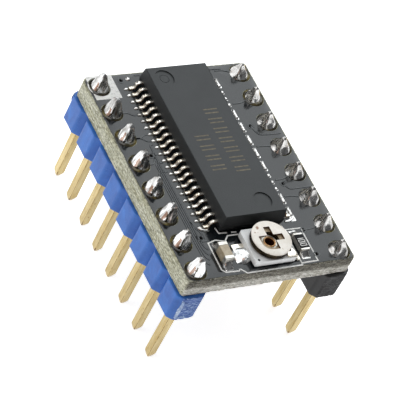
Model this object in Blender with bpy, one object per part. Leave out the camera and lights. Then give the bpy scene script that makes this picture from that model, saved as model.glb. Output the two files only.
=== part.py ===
"""A stepper driver module: a small circuit board on two eight-pin headers.

The board carries a flat 44-lead driver chip, a current trimmer whose rotor turns, and a few chip
resistors and capacitors. It stands on its pin tips, with its long side along Y and its trimmer
end towards -Y. The origin is under its middle, at the pin tips.
"""
import math

import bmesh
import bpy
from mathutils import Matrix, Vector

# Sizes are in millimetres. Each finished solid is scaled to metres once, when it becomes an object.
METRES_PER_MM = 0.001
FIT = 0.01                      # gap between pieces that touch

# Headers: standard 2.54 mm pitch, square pins, two rows 12.7 mm apart.
PITCH = 2.54
PINS_PER_ROW = 8
ROW_X = 6.35
PIN_WIDTH = 0.64
PIN_LENGTH = 11.6
PIN_TAPER = 0.45
PIN_TIP_WIDTH = 0.34
STRIP_HEIGHT = 2.54
STRIP_WIDTH = 2.54
STRIP_CHAMFER = 0.5
STRIP_SEAT_Z = 6.0              # underside of the plastic strips, above the pin tips

# Board.
BOARD_WIDTH = 14.8
BOARD_LENGTH = 19.9
BOARD_THICKNESS = 1.6
BOARD_MIDDLE_Y = 0.08
BOARD_CORNER = 0.3
HOLE_RADIUS = 0.5
BOARD_BOTTOM_Z = STRIP_SEAT_Z + STRIP_HEIGHT + FIT
BOARD_TOP_Z = BOARD_BOTTOM_Z + BOARD_THICKNESS

# Solder round each pin on top of the board: (radius, height) stations. The left row's is tall and narrow.
SOLDER_CONES = {
    "left": ((0.7, 0.0), (0.6, 0.45), (0.49, 1.35)),
    "right": ((0.84, 0.0), (0.62, 0.38), (0.49, 1.15)),
}

# Driver chip: shrink outline package, 0.65 mm lead pitch.
CHIP_MIDDLE = Vector((-0.15, 1.6))
CHIP_LENGTH = 15.0
CHIP_WIDTH = 5.6
CHIP_DRAFT = 0.13               # how far the mould's top and bottom edges draw in
CHIP_STANDOFF = 0.05
CHIP_HEIGHT = 1.6
CHIP_CORNER = 0.12
LEADS_PER_SIDE = 22
LEAD_PITCH = 0.65
LEAD_WIDTH = 0.24
LEAD_THICKNESS = 0.15
LEAD_PLANE_Z = 0.66             # middle of the leads where they leave the mould, above the board
LEAD_BAR = (2.0, 2.25)          # bar inside the mould that ties one side's leads together
LEAD_BEND = ((3.0, 0.66), (3.17, 0.65), (3.27, 0.57), (3.33, 0.33), (3.4, 0.16), (3.52, 0.105), (3.82, 0.105))
DIE_PAD_SIZE = (2.9, 6.6, 0.2)
DIE_SIZE = (2.2, 4.4, 0.3)

# Trimmer: 3 mm open-frame type with a riveted metal rotor.
TRIMMER_MIDDLE = Vector((0.2, -7.88))
TRIMMER_BASE = (3.6, 3.1, 0.5)
TRIMMER_BASE_CORNER = 0.25
TERMINAL_THICKNESS = 0.12
TERMINAL_Z = 0.06               # underside of the terminals, above the board
BASE_Z = TERMINAL_Z + TERMINAL_THICKNESS + FIT
BASE_TOP_Z = BASE_Z + TRIMMER_BASE[2]
TRACK_THICKNESS = 0.02
TRACK_RADII = (0.75, 1.22)
TRACK_END_ANGLE = 60.0          # the horseshoe's ends, either side of +X
ROTOR_RADIUS = 1.6
ROTOR_TOP_Z = 1.37
ROTOR_RIM_HEIGHT = 0.35
ROTOR_PLATE = 0.15              # thickness of the slotted top plate
ROTOR_HUB_RADIUS = 1.15
ROTOR_HUB_Z = BASE_TOP_Z + 0.06
ROTOR_HUB_THICKNESS = 0.12
ROTOR_POCKET_RADIUS = 1.0
CROSS_REACH = 1.04
CROSS_WIDTH = 0.52
STOP_TONGUE = (1.48, 0.3)       # reach from the axis, and width
EYELET_BORE = 0.31
EYELET_RADIUS = 0.41
EYELET_FLANGE = 0.68
EYELET_CLEARANCE = 0.03         # running clearance between the eyelet and the rotor
END_TERMINAL_Y = 1.12           # middle of each end terminal, either side of the trimmer's axis
END_TERMINAL_WIDTH = 0.74

# Chip capacitor and chip resistor beside the trimmer, and the ones under the board.
CAPACITOR_MIDDLE = Vector((-3.6, -8.02))
CAPACITOR_SIZE = (0.8, 1.6, 0.8)
RESISTOR_MIDDLE = Vector((3.22, -7.95))
RESISTOR_SIZE = (0.8, 1.6, 0.45)
END_CAP_LENGTH = 0.32
END_CAP_WALL = 0.04
COMPONENT_Z = 0.05              # seat of the small parts above the board

SEGMENTS = 24                   # sides of a small round piece
ROTOR_SEGMENTS = 40

COLOURS = {
    "solder_mask": ((0.075, 0.085, 0.095), 0.45, 0.0),
    "header_blue": ((0.05, 0.14, 0.52), 0.45, 0.0),
    "header_black": ((0.02, 0.02, 0.02), 0.5, 0.0),
    "pin_gold": ((0.80, 0.62, 0.30), 0.25, 1.0),
    "solder": ((0.72, 0.72, 0.70), 0.22, 1.0),
    "chip_mould": ((0.045, 0.048, 0.052), 0.6, 0.0),
    "lead_tin": ((0.78, 0.76, 0.72), 0.3, 1.0),
    "die_copper": ((0.75, 0.42, 0.28), 0.4, 1.0),
    "die_silicon": ((0.25, 0.26, 0.30), 0.2, 0.2),
    "trimmer_ceramic": ((0.80, 0.80, 0.78), 0.5, 0.0),
    "rotor_steel": ((0.86, 0.83, 0.77), 0.35, 0.9),
    "eyelet_copper": ((0.85, 0.55, 0.32), 0.3, 1.0),
    "terminal_tin": ((0.80, 0.79, 0.76), 0.3, 1.0),
    "resistive_film": ((0.03, 0.025, 0.02), 0.6, 0.0),
    "capacitor_ceramic": ((0.52, 0.43, 0.34), 0.5, 0.0),
    "end_cap_tin": ((0.75, 0.75, 0.73), 0.35, 1.0),
    "alumina": ((0.62, 0.60, 0.56), 0.6, 0.0),
    "overcoat_black": ((0.02, 0.02, 0.022), 0.3, 0.0),
}


def clear_scene():
    for existing in list(bpy.data.objects):
        bpy.data.objects.remove(existing, do_unlink=True)


def material(slot):
    """The named Principled material, made the first time it is asked for."""
    found = bpy.data.materials.get(slot)
    if found:
        return found
    colour, roughness, metallic = COLOURS[slot]
    made = bpy.data.materials.new(slot)
    made.use_nodes = True
    shader = made.node_tree.nodes["Principled BSDF"]
    shader.inputs["Base Color"].default_value = (*colour, 1.0)
    shader.inputs["Roughness"].default_value = roughness
    shader.inputs["Metallic"].default_value = metallic
    return made


def finish(solid, name, slot, place=(0.0, 0.0, 0.0), smooth=False):
    """Turn a bmesh in millimetres into a named object in metres, set down at place."""
    bmesh.ops.recalc_face_normals(solid, faces=solid.faces)
    bmesh.ops.scale(solid, vec=(METRES_PER_MM,) * 3, verts=solid.verts)
    mesh = bpy.data.meshes.new(name)
    solid.to_mesh(mesh)
    solid.free()
    if smooth:
        mesh.shade_smooth()
        mesh.set_sharp_from_angle(angle=math.radians(35))
    mesh.materials.append(material(slot))
    piece = bpy.data.objects.new(name, mesh)
    piece.location = Vector(place) * METRES_PER_MM
    bpy.context.scene.collection.objects.link(piece)
    return piece


# --- Shapes, all in millimetres -------------------------------------------------------------------

def prism(outline, low, high, holes=()):
    """A plate between two heights, with the outline and the through holes given as XY loops."""
    solid = bmesh.new()
    for loop in (outline, *holes):
        corners = [solid.verts.new((x, y, low)) for x, y in loop]
        for here, following in zip(corners, corners[1:] + corners[:1]):
            solid.edges.new((here, following))
    bmesh.ops.triangle_fill(solid, use_beauty=True, edges=solid.edges[:])
    raised = bmesh.ops.extrude_face_region(solid, geom=solid.faces[:])["geom"]
    upper = [item for item in raised if isinstance(item, bmesh.types.BMVert)]
    bmesh.ops.translate(solid, verts=upper, vec=(0.0, 0.0, high - low))
    bmesh.ops.recalc_face_normals(solid, faces=solid.faces)
    return solid


def upright_prism(outline, near, far):
    """A prism whose outline is in XZ, between two places along Y."""
    solid = prism([(x, -z) for x, z in outline], near, far)
    bmesh.ops.rotate(solid, verts=solid.verts, matrix=Matrix.Rotation(math.radians(-90), 3, "X"))
    return solid


def circle(radius, segments=SEGMENTS, middle=(0.0, 0.0), start=0.0):
    step = math.tau / segments
    return [
        (
            middle[0] + radius * math.cos(start + step * index),
            middle[1] + radius * math.sin(start + step * index),
        )
        for index in range(segments)
    ]


def arc(radius, first, last, steps):
    """Points on an arc about the origin, angles in degrees."""
    angles = [math.radians(first + (last - first) * index / steps) for index in range(steps + 1)]
    return [(radius * math.cos(angle), radius * math.sin(angle)) for angle in angles]


def rectangle(width, length, middle=(0.0, 0.0)):
    x, y = middle
    return [
        (x - width / 2, y - length / 2),
        (x + width / 2, y - length / 2),
        (x + width / 2, y + length / 2),
        (x - width / 2, y + length / 2),
    ]


def rounded_rectangle(width, length, radius, middle=(0.0, 0.0), steps=3):
    points = []
    centres = rectangle(width - 2 * radius, length - 2 * radius, middle)
    for quarter, (x, y) in enumerate(centres):
        turn = arc(radius, 180 + 90 * quarter, 270 + 90 * quarter, steps)
        points += [(x + dx, y + dy) for dx, dy in turn]
    return points


def box(size, middle=(0.0, 0.0), low=0.0):
    return prism(rectangle(size[0], size[1], middle), low, low + size[2])


def loft(sections):
    """A solid through stacked XY loops of equal length, given as (loop, z), with flat ends."""
    solid = bmesh.new()
    rings = [[solid.verts.new((x, y, z)) for x, y in loop] for loop, z in sections]
    for lower, upper in zip(rings, rings[1:]):
        for index in range(len(lower)):
            after = (index + 1) % len(lower)
            solid.faces.new((lower[index], lower[after], upper[after], upper[index]))
    solid.faces.new(rings[0][::-1])
    solid.faces.new(rings[-1])
    return solid


def turned(profile, segments=SEGMENTS):
    """A ring-shaped solid: a closed (radius, z) outline turned about Z."""
    solid = bmesh.new()
    corners = [solid.verts.new((radius, 0.0, z)) for radius, z in profile]
    edges = [solid.edges.new(pair) for pair in zip(corners, corners[1:] + corners[:1])]
    bmesh.ops.spin(
        solid,
        geom=corners + edges,
        cent=(0.0, 0.0, 0.0),
        axis=(0.0, 0.0, 1.0),
        angle=math.tau,
        steps=segments,
        use_merge=True,
    )
    bmesh.ops.remove_doubles(solid, verts=solid.verts, dist=0.0005)
    bmesh.ops.recalc_face_normals(solid, faces=solid.faces)
    return solid


def combine(solid, operation, tools):
    """Apply one Boolean operation to a bmesh with each tool bmesh in turn."""
    meshes = []
    pieces = []
    for shape in (solid, *tools):
        bmesh.ops.recalc_face_normals(shape, faces=shape.faces)
        mesh = bpy.data.meshes.new("shape")
        shape.to_mesh(mesh)
        shape.free()
        piece = bpy.data.objects.new("shape", mesh)
        bpy.context.scene.collection.objects.link(piece)
        meshes.append(mesh)
        pieces.append(piece)
    body = pieces[0]
    for tool in pieces[1:]:
        step = body.modifiers.new("step", "BOOLEAN")
        step.operation = operation
        step.object = tool
    bpy.context.view_layer.update()
    result = bmesh.new()
    result.from_object(body, bpy.context.evaluated_depsgraph_get())
    for piece in pieces:
        bpy.data.objects.remove(piece, do_unlink=True)
    for mesh in meshes:
        bpy.data.meshes.remove(mesh)
    return result


def cut(solid, *tools):
    return combine(solid, "DIFFERENCE", tools)


def join(solid, *tools):
    return combine(solid, "UNION", tools)


# --- Board and headers ----------------------------------------------------------------------------

def pin_y(index):
    """Pin 1 is at the back, pin 8 at the front beside the trimmer."""
    return PITCH * ((PINS_PER_ROW - 1) / 2 - index)


def make_board():
    holes = [
        circle(HOLE_RADIUS, 12, (side * ROW_X, pin_y(index)))
        for side in (-1, 1)
        for index in range(PINS_PER_ROW)
    ]
    outline = rounded_rectangle(BOARD_WIDTH, BOARD_LENGTH, BOARD_CORNER, (0.0, BOARD_MIDDLE_Y))
    plate = prism(outline, 0.0, BOARD_THICKNESS, holes)
    finish(plate, "circuit_board", "solder_mask", (0.0, 0.0, BOARD_BOTTOM_Z))


def strip_outline():
    """One header strip in plan: a row of eight octagons, with a notch between each two."""
    half = STRIP_WIDTH / 2
    flat = half - STRIP_CHAMFER
    right = []
    for index in range(PINS_PER_ROW):
        y = -pin_y(index)
        low = y - PITCH / 2
        high = y + PITCH / 2
        if index == 0:
            right.append((flat, low))
        right += [(half, low + STRIP_CHAMFER), (half, high - STRIP_CHAMFER), (flat, high)]
    left = [(-x, y) for x, y in reversed(right)]
    return right + left


def make_strip(name, side, slot):
    sleeve = PIN_WIDTH + 2 * FIT
    holes = [rectangle(sleeve, sleeve, (0.0, pin_y(index))) for index in range(PINS_PER_ROW)]
    solid = prism(strip_outline(), 0.0, STRIP_HEIGHT, holes)
    finish(solid, name, slot, (side * ROW_X, 0.0, STRIP_SEAT_Z))


def make_pin(name, x, y):
    tip = rectangle(PIN_TIP_WIDTH, PIN_TIP_WIDTH)
    full = rectangle(PIN_WIDTH, PIN_WIDTH)
    sections = [(tip, 0.0), (full, PIN_TAPER), (full, PIN_LENGTH - PIN_TAPER), (tip, PIN_LENGTH)]
    finish(loft(sections), name, "pin_gold", (x, y, 0.0))


def make_solder_joint(name, cone, x, y):
    """A cone of solder round the pin, standing on the board's pad."""
    sections = [(circle(radius, 16), height) for radius, height in cone]
    sleeve = PIN_WIDTH + 2 * FIT
    pin_hole = box((sleeve, sleeve, cone[-1][1] + 2.0), low=-1.0)
    finish(cut(loft(sections), pin_hole), name, "solder", (x, y, BOARD_TOP_Z + FIT), smooth=True)


def make_headers():
    for label, side, slot in (("left", -1, "header_blue"), ("right", 1, "header_black")):
        make_strip(f"header_strip_{label}", side, slot)
        for index in range(PINS_PER_ROW):
            x = side * ROW_X
            y = pin_y(index)
            make_pin(f"header_pin_{label}_{index + 1}", x, y)
            make_solder_joint(f"solder_joint_{label}_{index + 1}", SOLDER_CONES[label], x, y)


# --- Driver chip ----------------------------------------------------------------------------------

def lead_y(index):
    return LEAD_PITCH * (index - (LEADS_PER_SIDE - 1) / 2)


def make_mould():
    """The chip's moulded body, with a slot for each lead and a pocket for the die and its pad."""
    narrow = (CHIP_WIDTH - 2 * CHIP_DRAFT, CHIP_LENGTH - 2 * CHIP_DRAFT)
    ends = rounded_rectangle(*narrow, CHIP_CORNER, steps=2)
    waist = rounded_rectangle(CHIP_WIDTH, CHIP_LENGTH, CHIP_CORNER, steps=2)
    step = LEAD_THICKNESS / 2
    top = CHIP_STANDOFF + CHIP_HEIGHT
    sections = [
        (ends, CHIP_STANDOFF),
        (waist, LEAD_PLANE_Z - step),
        (waist, LEAD_PLANE_Z + step),
        (ends, top),
    ]
    slot_height = LEAD_THICKNESS + 2 * FIT
    slot_low = LEAD_PLANE_Z - slot_height / 2
    frame_room = (2 * LEAD_BAR[1] + 2 * FIT, LEADS_PER_SIDE * LEAD_PITCH + 0.1, slot_height)
    pocket = (DIE_PAD_SIZE[0] + 2 * FIT, DIE_PAD_SIZE[1] + 2 * FIT, LEAD_PLANE_Z)
    tools = [box(frame_room, low=slot_low), box(pocket)]
    slots = bmesh.new()
    for index in range(LEADS_PER_SIDE):
        slot = box((CHIP_WIDTH + 1.0, LEAD_WIDTH + 2 * FIT, slot_height), (0.0, lead_y(index)), slot_low)
        mesh = bpy.data.meshes.new("slot")
        slot.to_mesh(mesh)
        slot.free()
        slots.from_mesh(mesh)
        bpy.data.meshes.remove(mesh)
    tools.append(slots)
    finish(cut(loft(sections), *tools), "chip_mould", "chip_mould", (*CHIP_MIDDLE, BOARD_TOP_Z))


def make_leads(name, side):
    """One side's leads, stamped as a comb from sheet and bent down to the board.

    The comb's tie bar lies inside the mould. Each lead leaves the mould level, bends down and
    ends in a flat foot on the board.
    """
    path = [(LEAD_BAR[0], LEAD_PLANE_Z), (LEAD_BAR[1], LEAD_PLANE_Z), *LEAD_BEND]
    path = [Vector(point) for point in path]
    normals = []
    for index in range(len(path)):
        before = path[max(index - 1, 0)]
        after = path[min(index + 1, len(path) - 1)]
        along = (after - before).normalized()
        normals.append(Vector((-along.y, along.x)))
    across = []
    for index in range(LEADS_PER_SIDE):
        across += [lead_y(index) - LEAD_WIDTH / 2, lead_y(index) + LEAD_WIDTH / 2]

    solid = bmesh.new()
    corners = {}

    def corner(station, column, face):
        key = (station, column, face)
        if key not in corners:
            spot = path[station] + normals[station] * (face * LEAD_THICKNESS / 2)
            corners[key] = solid.verts.new((side * spot.x, across[column], spot.y))
        return corners[key]

    def filled(station, column):
        inside = 0 <= station < len(path) - 1 and 0 <= column < len(across) - 1
        return inside and (station == 0 or column % 2 == 0)

    for station in range(len(path) - 1):
        for column in range(len(across) - 1):
            if not filled(station, column):
                continue
            loop = [
                (station, column),
                (station + 1, column),
                (station + 1, column + 1),
                (station, column + 1),
            ]
            for face in (-1, 1):
                solid.faces.new([corner(*spot, face) for spot in loop])
            neighbours = [
                (station, column - 1),
                (station + 1, column),
                (station, column + 1),
                (station - 1, column),
            ]
            for edge, neighbour in enumerate(neighbours):
                if filled(*neighbour):
                    continue
                first = loop[edge]
                second = loop[(edge + 1) % 4]
                wall = [corner(*first, -1), corner(*second, -1), corner(*second, 1), corner(*first, 1)]
                solid.faces.new(wall)
    finish(solid, name, "lead_tin", (*CHIP_MIDDLE, BOARD_TOP_Z))


def make_chip():
    make_mould()
    make_leads("chip_leads_left", -1)
    make_leads("chip_leads_right", 1)
    pad_low = CHIP_STANDOFF
    place = (*CHIP_MIDDLE, BOARD_TOP_Z)
    finish(box(DIE_PAD_SIZE, low=pad_low), "chip_die_pad", "die_copper", place)
    finish(box(DIE_SIZE, low=pad_low + DIE_PAD_SIZE[2] + FIT), "chip_die", "die_silicon", place)


# --- Trimmer --------------------------------------------------------------------------------------

def make_trimmer_base():
    outline = rounded_rectangle(TRIMMER_BASE[0], TRIMMER_BASE[1], TRIMMER_BASE_CORNER)
    hole = circle(EYELET_RADIUS + FIT)
    return prism(outline, BASE_Z, BASE_TOP_Z, [hole])


def make_track():
    """The resistive film: a horseshoe open towards the two end terminals."""
    inner, outer = TRACK_RADII
    outline = arc(outer, TRACK_END_ANGLE, 360 - TRACK_END_ANGLE, 24)
    outline += arc(inner, 360 - TRACK_END_ANGLE, TRACK_END_ANGLE, 24)
    low = BASE_TOP_Z + FIT
    return prism(outline, low, low + TRACK_THICKNESS)


def cross_outline():
    reach = CROSS_REACH
    half = CROSS_WIDTH / 2
    arm = [(half, -half), (reach, -half), (reach, half)]
    points = []
    for quarter in range(4):
        angle = math.radians(90 * quarter)
        for x, y in arm:
            turned_x = x * math.cos(angle) - y * math.sin(angle)
            turned_y = x * math.sin(angle) + y * math.cos(angle)
            points.append((turned_x, turned_y))
    return points


def make_rotor():
    """The pressed metal rotor: a slotted top plate over a pocket, a hub plate and a contact."""
    rim_low = ROTOR_TOP_Z - ROTOR_RIM_HEIGHT
    chamfer = 0.06
    sections = [
        (circle(ROTOR_HUB_RADIUS, ROTOR_SEGMENTS), ROTOR_HUB_Z),
        (circle(ROTOR_HUB_RADIUS, ROTOR_SEGMENTS), rim_low),
        (circle(ROTOR_RADIUS - chamfer, ROTOR_SEGMENTS), rim_low),
        (circle(ROTOR_RADIUS, ROTOR_SEGMENTS), rim_low + chamfer),
        (circle(ROTOR_RADIUS, ROTOR_SEGMENTS), ROTOR_TOP_Z - chamfer),
        (circle(ROTOR_RADIUS - chamfer, ROTOR_SEGMENTS), ROTOR_TOP_Z),
    ]
    reach, width = STOP_TONGUE
    tongue_length = reach - ROTOR_POCKET_RADIUS
    tongue_middle = (-(reach + ROTOR_POCKET_RADIUS) / 2, 0.0)
    tongue = box((tongue_length, width, ROTOR_HUB_THICKNESS), tongue_middle, ROTOR_HUB_Z)
    track_top = BASE_TOP_Z + FIT + TRACK_THICKNESS
    contact_low = track_top + FIT
    contact_middle = (-sum(TRACK_RADII) / 2, 0.0)
    contact = prism(circle(0.14, 10, contact_middle), contact_low, ROTOR_HUB_Z + ROTOR_HUB_THICKNESS / 2)
    solid = join(loft(sections), tongue, contact)
    pocket_low = ROTOR_HUB_Z + ROTOR_HUB_THICKNESS
    pocket_high = ROTOR_TOP_Z - ROTOR_PLATE
    bore = prism(circle(EYELET_RADIUS + EYELET_CLEARANCE), BASE_TOP_Z - 0.5, (pocket_low + pocket_high) / 2)
    pocket = prism(circle(ROTOR_POCKET_RADIUS, ROTOR_SEGMENTS), pocket_low, pocket_high)
    cross = prism(cross_outline(), (pocket_low + pocket_high) / 2, ROTOR_TOP_Z + 0.5)
    return cut(solid, bore, pocket, cross)


def make_eyelet():
    """The hollow rivet that holds the rotor down on the base and joins it to the wiper terminal."""
    bottom = 0.01
    flare_top = TERMINAL_Z - FIT
    flange_low = ROTOR_HUB_Z + ROTOR_HUB_THICKNESS + FIT
    flange_high = flange_low + 0.1
    profile = [
        (EYELET_BORE, bottom),
        (EYELET_RADIUS + 0.15, bottom),
        (EYELET_RADIUS + 0.15, flare_top),
        (EYELET_RADIUS, flare_top),
        (EYELET_RADIUS, flange_low),
        (EYELET_FLANGE, flange_low),
        (EYELET_FLANGE, flange_high - 0.05),
        (EYELET_FLANGE - 0.1, flange_high),
        (EYELET_BORE + 0.16, flange_high),
        (EYELET_BORE, flange_high - 0.09),
    ]
    return turned(profile)


def make_wiper_terminal():
    """A flat tag under the base, from the eyelet out to the left."""
    half = 0.7
    reach = -2.75
    ring = arc(half, -90, 90, 8)
    outline = [(reach, -half), *ring, (reach, half)]
    return prism(outline, TERMINAL_Z, TERMINAL_Z + TERMINAL_THICKNESS, [circle(EYELET_RADIUS + FIT)])


def make_end_terminal(y):
    """A clip folded round the base's right edge: a foot below, a riser and a leaf on top."""
    edge = TRIMMER_BASE[0] / 2 + FIT
    outer = edge + 0.1
    leaf_low = BASE_TOP_Z + FIT + TRACK_THICKNESS + FIT
    leaf_high = leaf_low + 0.1
    foot_high = TERMINAL_Z + TERMINAL_THICKNESS
    outline = [
        (1.15, TERMINAL_Z),
        (2.35, TERMINAL_Z),
        (2.35, foot_high),
        (outer, foot_high),
        (outer, leaf_high),
        (1.0, leaf_high),
        (1.0, leaf_low),
        (edge, leaf_low),
        (edge, foot_high),
        (1.15, foot_high),
    ]
    return upright_prism(outline, y - END_TERMINAL_WIDTH / 2, y + END_TERMINAL_WIDTH / 2)


def make_trimmer():
    place = (*TRIMMER_MIDDLE, BOARD_TOP_Z)
    finish(make_trimmer_base(), "trimmer_base", "trimmer_ceramic", place, smooth=True)
    finish(make_track(), "trimmer_track", "resistive_film", place)
    finish(make_rotor(), "trimmer_rotor", "rotor_steel", place, smooth=True)
    finish(make_eyelet(), "trimmer_eyelet", "eyelet_copper", place, smooth=True)
    finish(make_wiper_terminal(), "trimmer_wiper_terminal", "terminal_tin", place)
    finish(make_end_terminal(END_TERMINAL_Y), "trimmer_end_terminal_back", "terminal_tin", place)
    finish(make_end_terminal(-END_TERMINAL_Y), "trimmer_end_terminal_front", "terminal_tin", place)


# --- Chip capacitors and resistors ----------------------------------------------------------------

def end_cap(size, towards):
    """A metal cap over one end of a chip part: a block with a pocket that the part's end fills."""
    width, length, height = size
    block = box((width, END_CAP_LENGTH, height), (0.0, towards * (length - END_CAP_LENGTH) / 2))
    pocket_size = (width - 2 * END_CAP_WALL, END_CAP_LENGTH, height - 2 * END_CAP_WALL)
    pocket_y = towards * ((length - END_CAP_LENGTH) / 2 - END_CAP_WALL)
    return cut(block, box(pocket_size, (0.0, pocket_y), END_CAP_WALL))


def chip_core(size):
    """The part's ceramic block, which reaches into both end caps."""
    inset = 2 * (END_CAP_WALL + FIT)
    return box([side - inset for side in size], low=END_CAP_WALL + FIT)


def make_chip_part(name, core_name, middle, size, core_slot):
    place = (*middle, BOARD_TOP_Z + COMPONENT_Z)
    finish(chip_core(size), f"{name}_{core_name}", core_slot, place)
    finish(end_cap(size, -1), f"{name}_end_cap_front", "end_cap_tin", place)
    finish(end_cap(size, 1), f"{name}_end_cap_back", "end_cap_tin", place)


def make_resistor_overcoat():
    """The black glass over the resistor's film, between its end caps."""
    length = RESISTOR_SIZE[1] - 2 * END_CAP_LENGTH - 2 * FIT
    low = RESISTOR_SIZE[2] - END_CAP_WALL
    solid = box((RESISTOR_SIZE[0] - 0.06, length, END_CAP_WALL), low=low)
    place = (*RESISTOR_MIDDLE, BOARD_TOP_Z + COMPONENT_Z)
    finish(solid, "resistor_overcoat", "overcoat_black", place)


def make_underside_part(name, middle, size, slot):
    """A chip part under the board, one solid whose end bands stand a little proud."""
    width, length, height = size
    band = 0.35
    step = 0.04
    ends = length / 2
    outline = [
        (-ends, 0.0),
        (-ends + band, 0.0),
        (-ends + band, step),
        (ends - band, step),
        (ends - band, 0.0),
        (ends, 0.0),
        (ends, height),
        (ends - band, height),
        (ends - band, height - step),
        (-ends + band, height - step),
        (-ends + band, height),
        (-ends, height),
    ]
    solid = upright_prism(outline, -width / 2, width / 2)
    bmesh.ops.rotate(solid, verts=solid.verts, matrix=Matrix.Rotation(math.radians(90), 3, "Z"))
    finish(solid, name, slot, (*middle, BOARD_BOTTOM_Z - COMPONENT_Z - height))


def make_underside_parts():
    sense = (1.6, 3.2, 0.55)
    supply = (1.25, 2.0, 0.9)
    small_capacitor = (0.8, 1.6, 0.8)
    small_resistor = (0.8, 1.6, 0.45)
    make_underside_part("sense_resistor_left", (-2.4, 5.2), sense, "overcoat_black")
    make_underside_part("sense_resistor_right", (2.4, 5.2), sense, "overcoat_black")
    make_underside_part("supply_capacitor_left", (-2.6, -4.6), supply, "capacitor_ceramic")
    make_underside_part("supply_capacitor_right", (2.6, -4.6), supply, "capacitor_ceramic")
    make_underside_part("charge_pump_capacitor", (0.0, -6.2), small_capacitor, "capacitor_ceramic")
    make_underside_part("pull_up_resistor", (0.0, -3.4), small_resistor, "overcoat_black")


def main():
    clear_scene()
    make_board()
    make_headers()
    make_chip()
    make_trimmer()
    make_chip_part("capacitor", "body", CAPACITOR_MIDDLE, CAPACITOR_SIZE, "capacitor_ceramic")
    make_chip_part("resistor", "substrate", RESISTOR_MIDDLE, RESISTOR_SIZE, "alumina")
    make_resistor_overcoat()
    make_underside_parts()


main()
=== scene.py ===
"""Looks of the stepper driver module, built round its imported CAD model.

Shapes are made in millimetres in the model's own frame: Z is up from the pin tips, Y runs along
the board and the trimmer is at its -Y end. place() turns a shape into a piece, in metres.
"""

import math
import random

import bmesh
import bpy
from mathutils import Matrix, Vector, noise


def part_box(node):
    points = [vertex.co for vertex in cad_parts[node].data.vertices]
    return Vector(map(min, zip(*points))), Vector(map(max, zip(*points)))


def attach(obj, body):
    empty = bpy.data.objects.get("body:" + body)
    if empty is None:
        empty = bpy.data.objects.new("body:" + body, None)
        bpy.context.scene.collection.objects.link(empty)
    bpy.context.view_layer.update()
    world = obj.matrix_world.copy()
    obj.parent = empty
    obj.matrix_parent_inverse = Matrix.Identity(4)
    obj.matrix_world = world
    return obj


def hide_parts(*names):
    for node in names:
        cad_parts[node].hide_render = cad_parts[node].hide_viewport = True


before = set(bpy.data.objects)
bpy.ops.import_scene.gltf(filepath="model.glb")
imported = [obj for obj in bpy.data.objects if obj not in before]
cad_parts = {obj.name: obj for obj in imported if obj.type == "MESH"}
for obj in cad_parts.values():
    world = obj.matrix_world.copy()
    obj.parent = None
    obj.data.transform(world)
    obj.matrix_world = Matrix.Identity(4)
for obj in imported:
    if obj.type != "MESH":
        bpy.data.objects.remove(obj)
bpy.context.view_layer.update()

MM = 0.001
BODY = "module"
ROTOR_BODY = "rotor"


# --- Where the CAD pieces are, in millimetres ---

def span(*nodes):
    """Lowest and highest corner of the box round these CAD nodes."""
    corners = [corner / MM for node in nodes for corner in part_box(node)]
    return Vector([min(axis) for axis in zip(*corners)]), Vector([max(axis) for axis in zip(*corners)])


def middle(*nodes):
    low, high = span(*nodes)
    return (low + high) / 2


BOARD_LOW, BOARD_HIGH = span("circuit_board")
TOP = BOARD_HIGH.z
BOTTOM = BOARD_LOW.z
PINS = {
    (side, number): middle(f"header_pin_{side}_{number}")
    for side in ("left", "right")
    for number in range(1, 9)
}
PITCH = PINS["left", 1].y - PINS["left", 2].y
PIN_LOW, PIN_HIGH = span("header_pin_left_1")
PIN_WIDTH = PIN_HIGH.x - PIN_LOW.x
CHIP_LOW, CHIP_HIGH = span("chip_mould")
CHIP = middle("chip_mould")
BASE_LOW, BASE_HIGH = span("trimmer_base")
TRIMMER = middle("trimmer_base")

MASK = 0.035                    # thickness of the solder mask
LACQUER = TOP + MASK            # its upper face
SOLDER_FOOT = LACQUER - 0.004   # solder starts just inside it


# --- Outlines and solids ---

def shares(steps):
    """0 to 1 in this many equal steps."""
    return [step / steps for step in range(steps + 1)]


def lumps(x, y=0.0, z=0.0):
    """Smooth noise at a place, from about -1 to 1."""
    return noise.noise(Vector((x, y, z)))


def arc(radius, first, last, steps, centre=(0.0, 0.0)):
    """Points on an arc, angles in degrees."""
    turns = [math.radians(first + (last - first) * share) for share in shares(steps)]
    return [(centre[0] + radius * math.cos(turn), centre[1] + radius * math.sin(turn)) for turn in turns]


def circle(radius, segments, centre):
    return arc(radius, 0.0, 360.0, segments, centre)[:-1]


def rounded(low, high, radii, steps=4):
    """A rectangle with round corners; radii are one number, or four from the low corner on."""
    if not isinstance(radii, tuple):
        radii = (radii,) * 4
    points = []
    for quarter, (right, back) in enumerate(((0, 0), (1, 0), (1, 1), (0, 1))):
        radius = radii[quarter]
        x = high[0] - radius if right else low[0] + radius
        y = high[1] - radius if back else low[1] + radius
        points += arc(radius, 180 + 90 * quarter, 270 + 90 * quarter, steps, (x, y))
    return points


def around(centre, width, length, radii=0.0, steps=4):
    """A rectangle about a middle point, its corners rounded if radii says so."""
    low = (centre[0] - width / 2, centre[1] - length / 2)
    high = (centre[0] + width / 2, centre[1] + length / 2)
    if radii == 0.0:
        return [low, (high[0], low[1]), high, (low[0], high[1])]
    return rounded(low, high, radii, steps)


def dense(outline, step):
    """The closed outline with extra points, so that none are further apart than step."""
    points = []
    for here, after in zip(outline, outline[1:] + outline[:1]):
        parts = max(1, math.ceil(math.dist(here, after) / step))
        for share in shares(parts)[:-1]:
            points.append((here[0] + (after[0] - here[0]) * share, here[1] + (after[1] - here[1]) * share))
    return points


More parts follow.
